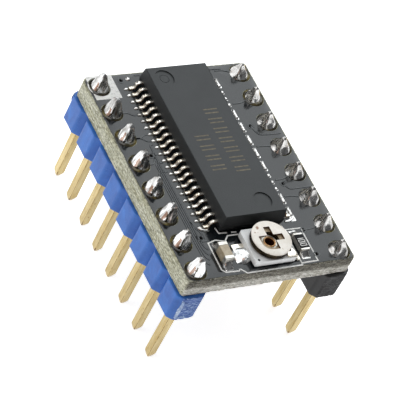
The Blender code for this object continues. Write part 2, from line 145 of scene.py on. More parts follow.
def normals(points, closed=True):
    """Unit vectors to the left of the path at each point, lengthened at corners to keep a line's width."""
    found = []
    last = len(points) - 1
    for index, here in enumerate(points):
        before = points[index - 1] if closed or index > 0 else None
        after = points[(index + 1) % len(points)] if closed or index < last else None
        sides = []
        for start, end in ((before, here), (here, after)):
            if start is None or end is None or math.dist(start, end) < 1e-9:
                continue
            along = (Vector(end) - Vector(start)).normalized()
            sides.append(Vector((-along.y, along.x)))
        mean = sum(sides, Vector((0.0, 0.0)))
        found.append(mean / max(0.35, mean.dot(sides[0])))
    return found


def inset(outline, distances):
    """The closed, anticlockwise outline moved inwards by a distance for each point."""
    return [
        (x + normal.x * distance, y + normal.y * distance)
        for (x, y), normal, distance in zip(outline, normals(outline), distances)
    ]


def line_outline(points, width):
    """The outline of an open line of this width."""
    sides = [side * width / 2 for side in normals(points, closed=False)]
    right = [(x - side.x, y - side.y) for (x, y), side in zip(points, sides)]
    left = [(x + side.x, y + side.y) for (x, y), side in zip(points, sides)]
    return right + left[::-1]


def chaikin(points):
    """An open path with its corners cut twice, so that it bends smoothly."""
    for _ in range(2):
        cut = [points[0]]
        for here, after in zip(points, points[1:]):
            here, after = Vector(here), Vector(after)
            cut += [tuple(here.lerp(after, 0.25)), tuple(here.lerp(after, 0.75))]
        points = [*cut, points[-1]]
    return points


def edge_profile(low, high, edge=0.0, steps=3, rows=1):
    """A wall's (inset, z) stations from bottom to top, with rounded edges."""
    turns = [math.pi / 2 * share for share in shares(steps)] if edge else [math.pi / 2]
    lower = [(edge * (1 - math.sin(turn)), low + edge * (1 - math.cos(turn))) for turn in turns]
    upper = [(gap, high + low - z) for gap, z in reversed(lower)]
    first, last = lower[-1][1], upper[0][1]
    between = [(0.0, first + (last - first) * share) for share in shares(rows)[1:-1]]
    return lower + between + upper


def walls(solid, rings):
    """Faces between stacked rings of corners."""
    for lower, upper in zip(rings, rings[1:]):
        for index in range(len(lower)):
            after = (index + 1) % len(lower)
            solid.faces.new((lower[index], lower[after], upper[after], upper[index]))


def ring_edges(solid, ring):
    return [solid.edges.get((here, after)) for here, after in zip(ring, ring[1:] + ring[:1])]


def slab(outline, profile, holes=(), dimples=(), wobble=None):
    """A plate: an anticlockwise outline with a wall profile of (inset, z), through holes and blind dimples.

    A dimple is a list of (outline, z), from the top face down, whose last ring is floored.
    wobble(x, y, z) gives how far a wall point lies inside the outline.
    """
    solid = bmesh.new()
    rings = []
    for gap, z in profile:
        gaps = [gap + (wobble(x, y, z) if wobble else 0.0) for x, y in outline]
        rings.append([solid.verts.new((x, y, z)) for x, y in inset(outline, gaps)])
    walls(solid, rings)
    bottom_edges = ring_edges(solid, rings[0])
    top_edges = ring_edges(solid, rings[-1])
    for hole in holes:
        pair = [[solid.verts.new((x, y, z)) for x, y in hole] for z in (profile[0][1], profile[-1][1])]
        walls(solid, pair)
        bottom_edges += ring_edges(solid, pair[0])
        top_edges += ring_edges(solid, pair[1])
    for dimple in dimples:
        steps = [[solid.verts.new((x, y, z)) for x, y in loop] for loop, z in dimple]
        walls(solid, steps)
        top_edges += ring_edges(solid, steps[0])
        solid.faces.new(steps[-1])
    for edges in (bottom_edges, top_edges):
        bmesh.ops.triangle_fill(solid, edges=edges, use_beauty=True)
    return solid


def flat(outline, low, high, edge=0.0, holes=()):
    return slab(outline, edge_profile(low, high, edge, 2), holes)


def block(low, high, gap, z_gap, corner, edge):
    """A box inside its low and high corners by (x, y) and (z below, z above).

    corner and edge are each (radius, steps): the corners in plan, and the edges above and below.
    """
    outline = rounded((low.x + gap[0], low.y + gap[1]), (high.x - gap[0], high.y - gap[1]), *corner)
    return slab(outline, edge_profile(low.z + z_gap[0], high.z - z_gap[1], *edge))


def loft(rings):
    """A closed solid through rings of (x, y, z) points, with flat ends."""
    solid = bmesh.new()
    made = [[solid.verts.new(point) for point in ring] for ring in rings]
    walls(solid, made)
    solid.faces.new(made[0][::-1])
    solid.faces.new(made[-1])
    return solid


def turned(profile, centre, segments=64, base=0.0):
    """A ring-shaped solid: a closed (radius, z above base) outline turned about a vertical axis."""
    solid = bmesh.new()
    rings = []
    for radius, z in profile:
        rings.append([solid.verts.new((x, y, base + z)) for x, y in circle(radius, segments, centre)])
    walls(solid, [*rings, rings[0]])
    return solid


def bead(stations, across, base, sides=10, ripple=0.0, seed=0.0, power=0.85):
    """A mound of solder: half-ellipses at ((x, y), half width, height) stations along a line.

    across is the direction of its width: one (x, y) for all of them, or a list.
    """
    if not isinstance(across, list):
        across = [across] * len(stations)
    rings = []
    for ((x, y), half, height), side in zip(stations, across):
        ring = []
        for share in shares(sides):
            turn = math.pi * share
            swell = 1.0 + ripple * lumps(x * 5 + seed, y * 5, turn * 1.5)
            spot = Vector((x, y)) + Vector(side) * (half * swell * math.cos(turn))
            ring.append((spot.x, spot.y, base + height * swell * math.sin(turn) ** power))
        rings.append(ring)
    return loft(rings)


def line_bead(points, half, height, base):
    """A rounded ridge of solder along an open line, tapered at its ends."""
    path = chaikin(points)
    swells = [min(1.0, 5 * min(share, 1 - share) + 0.3) for share in shares(len(path) - 1)]
    stations = [(spot, half * swell, height * swell) for spot, swell in zip(path, swells)]
    across = [normal.normalized() for normal in normals(path, closed=False)]
    return bead(stations, across, base, 8, power=1.0)


def bent_strip(path, half, thick, ease, spot_of):
    """A strip of this half width and half thickness along a path, with its edges eased.

    spot_of(point, across) gives the place of a point of the path's plane, so far across the strip.
    """
    path = [Vector(point) for point in chaikin(path)]
    quarter = [(half - ease[0], -thick), (half, -thick + ease[1])]
    right = quarter + [(across, -out) for across, out in quarter[::-1]]
    section = right + [(-across, out) for across, out in right[::-1]]
    rings = []
    for spot, normal in zip(path, normals(path, closed=False)):
        rings.append([spot_of(spot + normal.normalized() * out, across) for across, out in section])
    return loft(rings)


def place(name, parts, body=BODY, replaces=(), slot=None, crease=40.0, flat_faces=True):
    """Make one piece of (solid, material) pairs in millimetres, riding on a CAD body."""
    mesh = bpy.data.meshes.new(name)
    whole = bmesh.new()
    materials = []
    for solid, finish in parts:
        if finish not in materials:
            materials.append(finish)
        bmesh.ops.recalc_face_normals(solid, faces=solid.faces)
        for face in solid.faces:
            face.material_index = materials.index(finish)
        solid.to_mesh(mesh)
        solid.free()
        whole.from_mesh(mesh)
    bmesh.ops.scale(whole, vec=(MM,) * 3, verts=whole.verts)
    whole.to_mesh(mesh)
    whole.free()
    for finish in materials:
        mesh.materials.append(finish)
    mesh.shade_smooth()
    piece = bpy.data.objects.new(name, mesh)
    bpy.context.scene.collection.objects.link(piece)
    mesh.set_sharp_from_angle(angle=math.radians(crease))
    if flat_faces:
        weighted = piece.modifiers.new("flat_faces", "WEIGHTED_NORMAL")
        weighted.keep_sharp = True
    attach(piece, body)
    if replaces:
        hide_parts(*replaces)
    return piece


def repaint(piece, finish, chosen):
    """Give a second material to the faces whose middle (in millimetres) and normal pass the test."""
    piece.data.materials.append(finish)
    slot_index = len(piece.data.materials) - 1
    for face in piece.data.polygons:
        if chosen(face.center / MM, face.normal):
            face.material_index = slot_index


# --- Materials ---

def linear(colour):
    """A display colour of 0 to 255 as the linear colour that a shader takes."""
    channels = [channel / 255 for channel in colour]
    return (*[c / 12.92 if c <= 0.04045 else ((c + 0.055) / 1.055) ** 2.4 for c in channels], 1.0)


class Finish:
    """A procedural material being wired up. Its textures are laid out in millimetres."""

    def __init__(self, name, roughness=0.5, metallic=0.0, gloss=0.5):
        self.material = bpy.data.materials.new(name)
        self.material.use_nodes = True
        self.tree = self.material.node_tree
        self.shader = self.tree.nodes["Principled BSDF"]
        self.shader.inputs["Roughness"].default_value = roughness
        self.shader.inputs["Metallic"].default_value = metallic
        self.shader.inputs["Specular IOR Level"].default_value = gloss
        self.coordinates = self.tree.nodes.new("ShaderNodeTexCoord").outputs["Object"]

    def node(self, kind, values=(), **settings):
        made = self.tree.nodes.new("ShaderNode" + kind)
        for name, value in settings.items():
            setattr(made, name, value)
        for socket, value in dict(values).items():
            if isinstance(value, bpy.types.NodeSocket):
                self.tree.links.new(value, made.inputs[socket])
            else:
                made.inputs[socket].default_value = value
        return made

    def spot(self, stretch=(1.0, 1.0, 1.0), offset=(0.0, 0.0, 0.0)):
        """Position in millimetres, times stretch on each axis."""
        scale = tuple(value / MM for value in stretch)
        mapping = self.node("Mapping", {"Vector": self.coordinates, "Scale": scale, "Location": offset})
        return mapping.outputs["Vector"]

    def noise(self, scale, detail=3.0, stretch=(1.0, 1.0, 1.0), distortion=0.0, offset=(0.0, 0.0, 0.0)):
        where = self.spot(stretch, offset)
        values = {"Vector": where, "Scale": scale, "Detail": detail, "Distortion": distortion}
        return self.node("TexNoise", values).outputs["Fac"]

    def axis(self, letter):
        """The X, Y or Z position in millimetres."""
        return self.node("SeparateXYZ", {"Vector": self.spot()}).outputs[letter]

    def scaled(self, value, low, high, to_low=0.0, to_high=1.0):
        """value from low..high to to_low..to_high, held within those ends."""
        values = {"Value": value, "From Min": low, "From Max": high, "To Min": to_low, "To Max": to_high}
        return self.node("MapRange", values).outputs["Result"]

    def math(self, operation, first, second):
        return self.node("Math", {0: first, 1: second}, operation=operation).outputs[0]

    def mix(self, factor, first, second, blend="MIX"):
        values = {"Factor": factor, 6: first, 7: linear(second) if isinstance(second, tuple) else second}
        return self.node("Mix", values, data_type="RGBA", blend_type=blend).outputs[2]

    def ramp(self, factor, *stops):
        """Display colours at places from 0 to 1 along factor."""
        return self.linear_ramp(factor, *[(place, linear(colour)) for place, colour in stops])

    def linear_ramp(self, factor, *stops):
        made = self.node("ValToRGB", {"Fac": factor})
        elements = made.color_ramp.elements
        while len(elements) < len(stops):
            elements.new(0.5)
        for element, (position, colour) in zip(elements, stops):
            element.position = position
            element.color = colour
        return made.outputs["Color"]

    def above(self, factor, low, high, most=1.0):
        """0 below low, rising to most at high."""
        return self.linear_ramp(factor, (low, (0.0, 0.0, 0.0, 1.0)), (high, (most, most, most, 1.0)))

    def colour(self, value):
        self.tree.links.new(value, self.shader.inputs["Base Color"])
        return self

    def roughness(self, factor, low, high):
        self.tree.links.new(self.scaled(factor, 0.25, 0.75, low, high), self.shader.inputs["Roughness"])
        return self

    def bump(self, height, depth):
        """Relief of this depth in millimetres, over any relief added before."""
        made = self.node("Bump", {"Height": height, "Distance": depth * MM})
        before = self.shader.inputs["Normal"]
        if before.is_linked:
            self.tree.links.new(before.links[0].from_socket, made.inputs["Normal"])
        self.tree.links.new(made.outputs["Normal"], before)
        return self


def grained(name, roughness, noise_settings, depth, *stops, metallic=0.0):
    """A skin whose one noise sets both its tone and its relief."""
    skin = Finish(name, roughness, metallic)
    grain = skin.noise(*noise_settings)
    return skin.colour(skin.ramp(grain, *stops)).bump(grain, depth).material


def solder_mask(name, light, dark):
    """Semi-gloss dark grey lacquer over copper and glass cloth, with faint mottling and weave."""
    mask = Finish(name, 0.12)
    mottle = mask.noise(0.9, 4.0)
    fine = mask.noise(9.0, 2.0)
    broad = mask.ramp(mottle, (0.3, dark), (0.7, light))
    mask.colour(mask.mix(fine, broad, mask.ramp(fine, (0.35, dark), (0.65, light))))
    mask.roughness(mottle, 0.09, 0.15)
    return mask.bump(mask.noise(3.2, 2.0), 0.004).bump(fine, 0.0015).material


def fibreglass():
    """Routed laminate: layers of glass cloth in pale resin, with a darker band high on the front edge."""
    edge = Finish("laminate_edge", 0.7)
    layers = edge.noise(1.0, 3.0, (0.5, 0.35, 9.0))
    yarns = edge.noise(2.6, 5.0, (1.5, 1.5, 4.0), 0.7)
    resin = edge.ramp(yarns, (0.32, (112, 112, 98)), (0.5, (190, 191, 178)), (0.64, (236, 237, 230)))
    tint = edge.ramp(layers, (0.3, (186, 182, 150)), (0.55, (232, 231, 218)), (0.75, (248, 248, 243)))
    sides = edge.mix(1.0, resin, tint, "MULTIPLY")
    front = edge.scaled(edge.axis("Y"), BOARD_LOW.y + 0.06, BOARD_LOW.y + 0.2, 1.0, 0.0)
    upper = edge.scaled(edge.axis("Z"), BOTTOM + 0.7, BOTTOM + 0.95)
    torn = edge.noise(3.6, 6.0, (1.0, 1.0, 3.4), 1.2)
    pale = edge.ramp(torn, (0.32, (104, 98, 82)), (0.5, (180, 178, 168)), (0.62, (226, 225, 219)))
    # Darker tones for the upper band of the front edge.
    upper_dark = edge.ramp(torn, (0.34, (34, 31, 25)), (0.5, (84, 81, 68)), (0.66, (156, 153, 140)))
    edge.colour(edge.mix(front, sides, edge.mix(upper, pale, upper_dark)))
    return edge.bump(layers, 0.05).bump(torn, 0.05).roughness(yarns, 0.55, 0.85).material


def plastic(name, deep, mid, scuffed, roughness):
    """Moulded header plastic: slight flow marks, fine scratches and paler rubbed patches."""
    moulded = Finish(name, roughness, gloss=0.45)
    flow = moulded.noise(0.9, 3.0, (1.0, 1.0, 0.6), 0.8)
    scratch = moulded.noise(3.0, 4.0, (1.0, 1.0, 5.0))
    body = moulded.ramp(flow, (0.3, deep), (0.7, mid))
    worn = moulded.math("MULTIPLY", moulded.above(scratch, 0.62, 0.8), 0.5)
    moulded.colour(moulded.mix(worn, body, scuffed))
    moulded.roughness(scratch, roughness - 0.08, roughness + 0.12)
    return moulded.bump(flow, 0.02).bump(scratch, 0.008).material


def broken_plastic(name, *tones):
    """A snapped face: fine tear lines and whitened stress marks."""
    return grained(name, 0.7, (2.2, 5.0, (1.0, 1.0, 4.0), 1.5), 0.08, *zip((0.3, 0.5, 0.7), tones))


def metal(name, light, dark, stain, roughness, patch=1.6, grain=8.0, stained=0.62):
    """A metal skin with tonal patches, fine grain and a few stains."""
    skin = Finish(name, roughness, metallic=1.0)
    patches = skin.noise(patch, 3.0, distortion=0.6)
    fine = skin.noise(grain, 3.0)
    toned = skin.ramp(patches, (0.3, dark), (0.62, light))
    marks = skin.above(skin.noise(patch * 1.7, 4.0, offset=(3.1, 1.7, 0.4)), stained, stained + 0.12)
    skin.colour(skin.mix(marks, toned, stain))
    return skin.roughness(fine, max(0.05, roughness - 0.08), roughness + 0.12).bump(fine, 0.008).material


def drawn_solder(name, dull, mid, bright):
    """Solder drawn up a pin: streaks of three tones along it, some flux stain and a wrinkled skin."""
    skin = Finish(name, 0.22, metallic=1.0)
    streaks = skin.noise(1.7, 2.5, (1.6, 1.6, 0.4), 0.4)
    stain = skin.noise(1.5, 3.0, (1.2, 1.2, 0.6), offset=(5.0, 2.0, 1.0))
    tone = skin.ramp(streaks, (0.3, dull), (0.47, mid), (0.62, bright))
    skin.colour(skin.mix(skin.above(stain, 0.6, 0.68, 0.8), tone, (156, 116, 96)))
    skin.roughness(streaks, 0.34, 0.16)
    return skin.bump(streaks, 0.03).bump(skin.noise(6.0, 2.0), 0.004).material


def gold_pin():
    """Thin gold over a brass pin, speckled brown."""
    skin = Finish("pin_gold", 0.3, metallic=1.0)
    drawn = skin.noise(2.0, 3.0, (2.0, 2.0, 0.35))
    specks = skin.noise(5.0, 3.0, (1.0, 1.0, 0.6))
    tone = skin.ramp(drawn, (0.3, (176, 154, 102)), (0.7, (204, 187, 142)))
    skin.colour(skin.mix(skin.above(specks, 0.66, 0.76), tone, (150, 116, 68)))
    return skin.roughness(drawn, 0.22, 0.42).bump(drawn, 0.012).material


FLUX_SPOT = (-0.57, -6.84, 11.52)    # a drop of burnt flux on the trimmer rotor


def rotor_skin():
    """Matt nickel, nearly white, with a few brown flux spots and fine pressing marks."""
    skin = Finish("rotor_metal", 0.55)
    patches = skin.noise(1.2, 4.0)
    fine = skin.noise(7.0, 3.0)
    toned = skin.ramp(patches, (0.3, (232, 225, 213)), (0.65, (250, 246, 238)))
    spots = skin.above(skin.noise(1.9, 3.0, offset=(0.7, 2.2, 0.0)), 0.66, 0.76)
    toned = skin.mix(skin.above(fine, 0.62, 0.8, 0.5), toned, (206, 188, 166))
    toned = skin.mix(spots, toned, (166, 128, 96))
    gap = skin.node("VectorMath", {0: skin.spot(), 1: FLUX_SPOT}, operation="DISTANCE").outputs["Value"]
    ragged = skin.math("ADD", gap, skin.scaled(skin.noise(5.0, 3.0), 0.0, 1.0, -0.09, 0.09))
    burnt = skin.scaled(ragged, 0.1, 0.17, 0.85, 0.0)
    skin.colour(skin.mix(burnt, toned, (150, 104, 74)))
    return skin.roughness(fine, 0.48, 0.66).bump(fine, 0.008).material


def flux_rim():
    """The pad's rim beyond the solder: copper under dried yellow-brown flux."""
    rim = Finish("flux_rim", 0.2, gloss=0.6)
    pools = rim.noise(1.6, 3.0)
    rim.colour(rim.ramp(pools, (0.34, (18, 16, 10)), (0.52, (54, 47, 22)), (0.7, (112, 100, 48))))
    return rim.roughness(pools, 0.15, 0.3).bump(pools, 0.02).material


def mould(name, lift):
    """Dark filled epoxy with a fine spark-eroded texture; lift makes it paler or darker."""
    def lifted(*colour, share=1.0):
        return tuple(channel + lift * share for channel in colour)

    epoxy = Finish(name, 0.55)
    cloud = epoxy.noise(0.5, 4.0)
    grain = epoxy.noise(14.0, 2.0)
    tone = epoxy.ramp(cloud, (0.3, lifted(32, 36, 38)), (0.7, lifted(41, 45, 47)))
    fine = epoxy.ramp(grain, (0.3, lifted(20, 23, 25, share=0.6)), (0.7, lifted(60, 63, 64)))
    return epoxy.colour(epoxy.mix(0.35, tone, fine)).roughness(grain, 0.5, 0.62).bump(grain, 0.01).material


def ceramic(name, light, dark, speck, roughness, scale=2.0, gloss=0.5):
    """Fired ceramic: faint clouds, fine pores."""
    fired = Finish(name, roughness, gloss=gloss)
    cloud = fired.noise(scale, 4.0)
    pores = fired.noise(scale * 6, 2.0)
    tone = fired.ramp(cloud, (0.3, dark), (0.7, light))
    fired.colour(fired.mix(fired.above(pores, 0.66, 0.76), tone, speck))
    return fired.roughness(cloud, roughness - 0.06, roughness + 0.08).bump(pores, 0.006).material


MASK_TOP = solder_mask("solder_mask", (22, 27, 30), (12, 15, 17))
TRACE = solder_mask("mask_over_copper", (46, 51, 54), (33, 37, 40))
LAMINATE = fibreglass()
INK = grained("silkscreen_ink", 0.6, (5.0, 4.0), 0.01,
              (0.28, (186, 187, 184)), (0.45, (226, 226, 222)), (0.8, (240, 240, 237)))
BLUE = plastic("header_blue", (23, 80, 160), (35, 104, 188), (120, 160, 222), 0.4)
BLUE_TORN = broken_plastic("header_blue_torn", (40, 70, 140), (74, 108, 178), (176, 200, 232))
BLUE_SCUFF = broken_plastic("header_blue_scuff", (96, 130, 196), (164, 188, 224), (228, 236, 246))
BLACK = plastic("header_black", (20, 20, 21), (30, 30, 31), (74, 74, 74), 0.42)
BLACK_TORN = broken_plastic("header_black_torn", (14, 14, 15), (34, 34, 35), (88, 88, 88))
GOLD = gold_pin()
WORN_GOLD = grained("pin_gold_worn", 0.4, (3.6, 4.0, (1.0, 1.0, 0.8)), 0.02,
                    (0.43, (76, 50, 25)), (0.53, (136, 102, 54)), (0.64, (194, 172, 120)), metallic=0.8)
SOLDER = metal("solder", (222, 221, 219), (146, 144, 141), (150, 130, 112), 0.17, patch=1.4, stained=0.66)
JOINT = drawn_solder("joint_solder", (146, 144, 141), (202, 202, 201), (238, 239, 240))
# Copies of the joint solder for painted reflections on the left joints: a warm brown one and a dark one.
JOINT_WARM_REFLECTION = drawn_solder("joint_stained", (96, 76, 64), (138, 112, 98), (176, 154, 142))
JOINT_DARK_REFLECTION = drawn_solder("joint_dark", (30, 27, 22), (64, 60, 52), (112, 108, 98))
RIM = flux_rim()
EPOXY = mould("chip_epoxy", 0)
# A darker copy of the epoxy for the chip's side walls: painted shade.
EPOXY_WALL_SHADE = mould("chip_epoxy_wall_painted_shade", -13)
EPOXY_FLOOR = mould("chip_epoxy_floor", 11)
LASER = grained("laser_mark", 0.75, (5.0, 4.0), 0.01, (0.3, (84, 80, 68)), (0.7, (126, 118, 98)))
TIN = metal("lead_tin", (250, 246, 238), (226, 214, 192), (176, 136, 88), 0.24, patch=2.0, stained=0.66)
# Brown, darker tin for the leads' side faces: painted shade and painted warm reflection.
LEAD_SIDE_SHADE = metal("lead_side_painted_shade", (190, 142, 96), (128, 86, 54), (84, 54, 32), 0.4, patch=2.4)
CAP_TIN = metal("end_cap_tin", (224, 222, 216), (172, 168, 160), (128, 116, 96), 0.36)
COPPER = metal("copper", (206, 140, 86), (150, 88, 46), (92, 56, 30), 0.32)
ROTOR_METAL = rotor_skin()
# Near-black metal for the cup, lug and contact: dark brown metal, deepened as painted shade under the cap.
DARK_METAL_AND_SHADE = metal("cup_metal_and_painted_shade", (66, 56, 42), (20, 17, 13), (112, 96, 70), 0.55, 3.0, 12.0, 0.6)
SLOT_EDGE = metal("slot_edge", (128, 84, 50), (70, 42, 24), (40, 24, 14), 0.5, patch=3.0)
# A pale matt floor for the cup: painted light, brighter than the metal would show in the shade under the
# slot.
CUP_FLOOR_PAINTED_LIGHT = ceramic("cup_floor_painted_light", (196, 178, 150), (150, 132, 108), (84, 62, 42), 0.6, 3.0, 0.3)
FLANGE = metal("rivet_flange", (244, 240, 230), (206, 198, 182), (140, 96, 60), 0.4, patch=3.0, stained=0.66)
RIVET = metal("rivet_copper", (232, 190, 140), (170, 112, 62), (96, 58, 30), 0.34, patch=3.0)
# Dark copper for the rivet's bore: copper, darkened as painted shade inside the hole.
BORE_SHADE = metal("rivet_bore_painted_shade", (112, 66, 36), (52, 28, 14), (20, 12, 8), 0.5, patch=2.4)
BASE_CERAMIC = ceramic("trimmer_ceramic", (245, 247, 247), (232, 234, 234), (190, 190, 186), 0.5)
CAPACITOR_CERAMIC = ceramic("capacitor_ceramic", (190, 178, 154), (160, 144, 118), (120, 102, 78), 0.42)
# The resistor's alumina is coloured mid grey, well below its white: painted shade on its side walls.
ALUMINA_SHADED = ceramic("alumina", (150, 148, 143), (118, 116, 110), (92, 89, 82), 0.6)
OVERCOAT = ceramic("overcoat_black", (20, 21, 24), (12, 13, 15), (34, 34, 36), 0.5, gloss=0.12)
FILM = ceramic("resistive_film", (44, 38, 34), (30, 26, 24), (66, 58, 50), 0.6)
SILICON = ceramic("die_silicon", (120, 122, 132), (96, 98, 108), (140, 142, 150), 0.25)
# Near-black via barrels: painted shade inside the drilled holes.
BARREL_SHADE = ceramic("via_barrel", (30, 28, 24), (16, 15, 13), (60, 44, 28), 0.4)


# --- Board ---

PAD_RADIUS = 0.87
HOLE_RADIUS = 0.5
VIA_RADIUS = 0.15
PAD_OUTLINES = [circle(PAD_RADIUS + 0.03, 40, spot.xy) for spot in PINS.values()]

# Vias by place: two at the back left, one by the fourth left pin, the rest round the front parts and
# under the chip, where they carry its heat to the underside.
LOOSE_VIAS = [
    (-4.25, 9.33), (-5.03, 1.88), (-4.53, -6.13), (4.25, -6.67), (4.25, -8.97), (4.7, 3.6), (4.75, -2.2),
]
CHIP_VIAS = [(CHIP.x + 0.8 * column, CHIP.y + 1.1 * row) for column in (-1, 0, 1) for row in range(-2, 3)]
VIAS = LOOSE_VIAS + CHIP_VIAS
DRILLED = [circle(VIA_RADIUS, 10, spot) for spot in VIAS]


def make_board():
    def wobble(x, y, z):
        """Roughness of the routed edge: coarse on the snapped front edge, fine elsewhere."""
        depth = 0.07 if y < BOARD_LOW.y + 0.25 else 0.022
        value = lumps(x * 2.6, y * 2.6, z * 5.0) + 0.5 * lumps(x * 9.0, y * 9.0, z * 11.0)
        return depth * (0.55 + 0.5 * value)

    outline = dense(rounded(BOARD_LOW.xy, BOARD_HIGH.xy, (0.25, 0.3, 0.3, 0.6), 6), 0.14)
    holes = [circle(HOLE_RADIUS, 20, spot.xy) for spot in PINS.values()]
    core = slab(outline, edge_profile(BOTTOM, TOP, 0.05, 2, rows=10), holes + DRILLED, wobble=wobble)
    parts = [(core, LAMINATE)]
    place("board_laminate", parts, replaces=["circuit_board"], slot="solder_mask", flat_faces=False)


def make_masks():
    """The lacquer, which stops short of the edge and cuts across the front-left corner."""
    gap = Vector((0.1, 0.1))
    ragged = dense(rounded(BOARD_LOW.xy + gap, BOARD_HIGH.xy - gap, (0.55, 0.25, 0.3, 0.5), 5), 0.25)
    outline = inset(ragged, [0.03 * lumps(x * 1.1, y * 1.1, 2.0) + 0.03 for x, y in ragged])
    profiles = {
        "top": edge_profile(TOP, LACQUER, 0.012, 2),
        "bottom": edge_profile(BOTTOM - 0.005, BOTTOM, 0.002, 1),
    }
    for face, profile in profiles.items():
        sheet = slab(outline, profile, PAD_OUTLINES + DRILLED)
        place(f"solder_mask_{face}", [(sheet, MASK_TOP)], slot="solder_mask")


def make_vias():
    hole = VIA_RADIUS
    rim = [(hole, -0.01), (0.3, -0.01), (0.29, 0.012), (0.24, 0.028), (0.19, 0.024), (hole, 0.004)]
    bore = hole - 0.03
    barrel = [(bore, BOTTOM), (hole, BOTTOM), (hole, LACQUER), (bore, LACQUER - 0.01)]
    rims = [turned(rim, spot, 24, LACQUER) for spot in LOOSE_VIAS]
    place("via_rims", [(solid, TRACE) for solid in rims], slot="solder_mask")
    # The barrels are near black: painted shade in the holes.
    place("via_barrels", [(turned(barrel, spot, 16), BARREL_SHADE) for spot in VIAS], slot="die_copper")


def make_pads():
    """Pad rims on both faces, round every pin, under a skirt of dried flux on the upper one."""
    bore = HOLE_RADIUS + 0.01
    rim = PAD_RADIUS
    skirt = [(bore, 0.002), (rim, 0.002), (rim - 0.02, 0.03), (0.74, 0.07), (0.62, 0.13), (bore, 0.13)]
    under = [(bore, -0.005), (rim, -0.005), (rim - 0.01, 0.0), (bore, 0.0)]
    rings = []
    for spot in PINS.values():
        rings += [turned(skirt, spot.xy, 48, TOP), turned(under, spot.xy, 48, BOTTOM)]
    place("pad_rims", [(ring, RIM) for ring in rings], slot="eyelet_copper", crease=60.0)


def make_traces():
    """Copper traces under the lacquer, seen as low ridges."""
    left = PINS["left", 1].x
    right = PINS["right", 1].x
    routes = []
    # Short runs from the left pads to the chip's leads, angled halfway.
    for number, lead_number in ((2, 17), (3, 14), (3, 13), (4, 11)):
        y_pad = PINS["left", number].y - 0.2
        y = lead_y(lead_number)
        routes.append([(left + 0.8, y_pad), (left + 1.25, y_pad), (left + 1.6, y), (-4.35, y)])
    # A bundle that runs forward beside the leads, and turns in to the front parts.
    for rank in range(4):
        x = -4.72 - 0.17 * rank
        start = 2.9 - 0.9 * rank
        end = -6.9 - 0.45 * rank
        turn_in = [(x, end), (x + 0.3, end - 0.35)]
        routes.append([(-4.4, start), (x + 0.05, start), (x, start - 0.3), (x, -5.0), *turn_in])
    # Runs from the right pads inward.
    for number, shift in ((1, 0.5), (2, -0.4), (4, 0.3), (5, -0.5), (6, 0.4), (7, -0.3)):
        y = PINS["right", number].y
        routes.append([(right - 0.8, y + shift * 0.5), (right - 1.4, y + shift), (4.25, y + shift)])
    # Two that turn in at the front left, two between the right pads, and one along the back.
    routes += [
        [(-4.72, -4.6), (-4.66, -5.1), (-4.34, -5.6), (-4.3, -6.2)],
        [(-4.9, -5.9), (-4.86, -6.35), (-4.45, -6.5), (-4.1, -6.4)],
        [(4.7, 3.6), (4.95, 2.75), (5.4, 2.62), (7.0, 2.6)],
        [(4.75, -2.2), (5.0, -2.75), (5.4, -2.78), (6.9, -2.76)],
        [(-2.9, 9.7), (-1.5, 9.62), (3.0, 9.62), (4.9, 9.55)],
    ]
    low = LACQUER - 0.01
    strips = [flat(line_outline(chaikin(route), 0.11), low, low + 0.042, 0.014) for route in routes]
    place("board_traces", [(strip, TRACE) for strip in strips], slot="solder_mask")


def make_silkscreen():
    low = LACQUER - 0.005
    high = LACQUER + 0.014
    lines = [
        # Capacitor box with a clipped corner, open to the trimmer's box.
        [(-2.74, -6.70), (-3.5, -6.49), (-4.2, -6.68), (-4.25, -9.15), (-4.0, -9.42), (-2.88, -9.46),
         (-2.72, -9.3)],
        # Trimmer box.
        [(-1.37, -6.24), (-2.3, -6.24), (-2.74, -6.70)],
        [(-2.72, -9.3), (-2.3, -9.74), (2.6, -9.75)],
        [(2.6, -9.75), (2.6, -6.02)],
        # Resistor box.
        [(2.6, -6.42), (4.1, -6.45), (4.06, -9.56), (2.6, -9.57)],
        # Corner mark and dash in front of the chip.
        [(-3.0, -5.4), (-2.9, -5.92), (-2.2, -5.96)],
        [(-1.85, -5.98), (-1.4, -6.0)],
    ]
    parts = [(flat(line_outline(points, 0.115), low, high, 0.005), INK) for points in lines]
    # The first pin's square.
    square = dense(around((-5.98, 8.82), 2.24, 2.36), 0.3)
    ragged = inset(square, [0.02 * lumps(x * 4, y * 4) for x, y in square])
    opening = circle(PAD_RADIUS + 0.05, 40, PINS["left", 1].xy)
    parts.append((flat(ragged, low, high, 0.005, [opening]), INK))
    place("silkscreen", parts, slot="alumina")


# --- Headers ---

STRIP_CHAMFER = 0.5


def make_strip(side, finish, torn, slot):
    """A row of eight octagons in plan, a notch between each two."""
    node = f"header_strip_{side}"
    low, high = span(node)
    edge = high.x - STRIP_CHAMFER
    right = [(edge, low.y)]
    for index in range(8):
        y = low.y + PITCH * index
        right += [(high.x, y + STRIP_CHAMFER), (high.x, y + PITCH - STRIP_CHAMFER), (edge, y + PITCH)]
    left = [(low.x + high.x - x, y) for x, y in right]
    pins = [spot for (where, _), spot in PINS.items() if where == side]
    holes = [around(spot.xy, PIN_WIDTH + 0.02, PIN_WIDTH + 0.02) for spot in pins]

    def wobble(x, y, z):
        """The two snapped ends are rough; the moulded faces are nearly true."""
        depth = 0.09 * max(0.0, 1.0 - min(y - low.y, high.y - y) / 0.12)
        value = lumps(x * 3.0, y * 2.0 + low.x, z * 3.0) + 0.5 * lumps(x * 9, low.x, z * 9)
        return depth * max(0.0, 0.5 + value) + 0.006 * max(0.0, 1 + lumps(x, y * 1.5, z))

    profile = edge_profile(low.z, high.z, 0.07, 3, rows=12)
    body = slab(dense(right + left[::-1], 0.2), profile, holes, wobble=wobble)
    piece = place(f"{node}_moulding", [(body, finish)], replaces=[node], slot=slot, crease=50.0)
    repaint(piece, torn, lambda spot, normal: min(spot.y - low.y, high.y - spot.y) < 0.11)


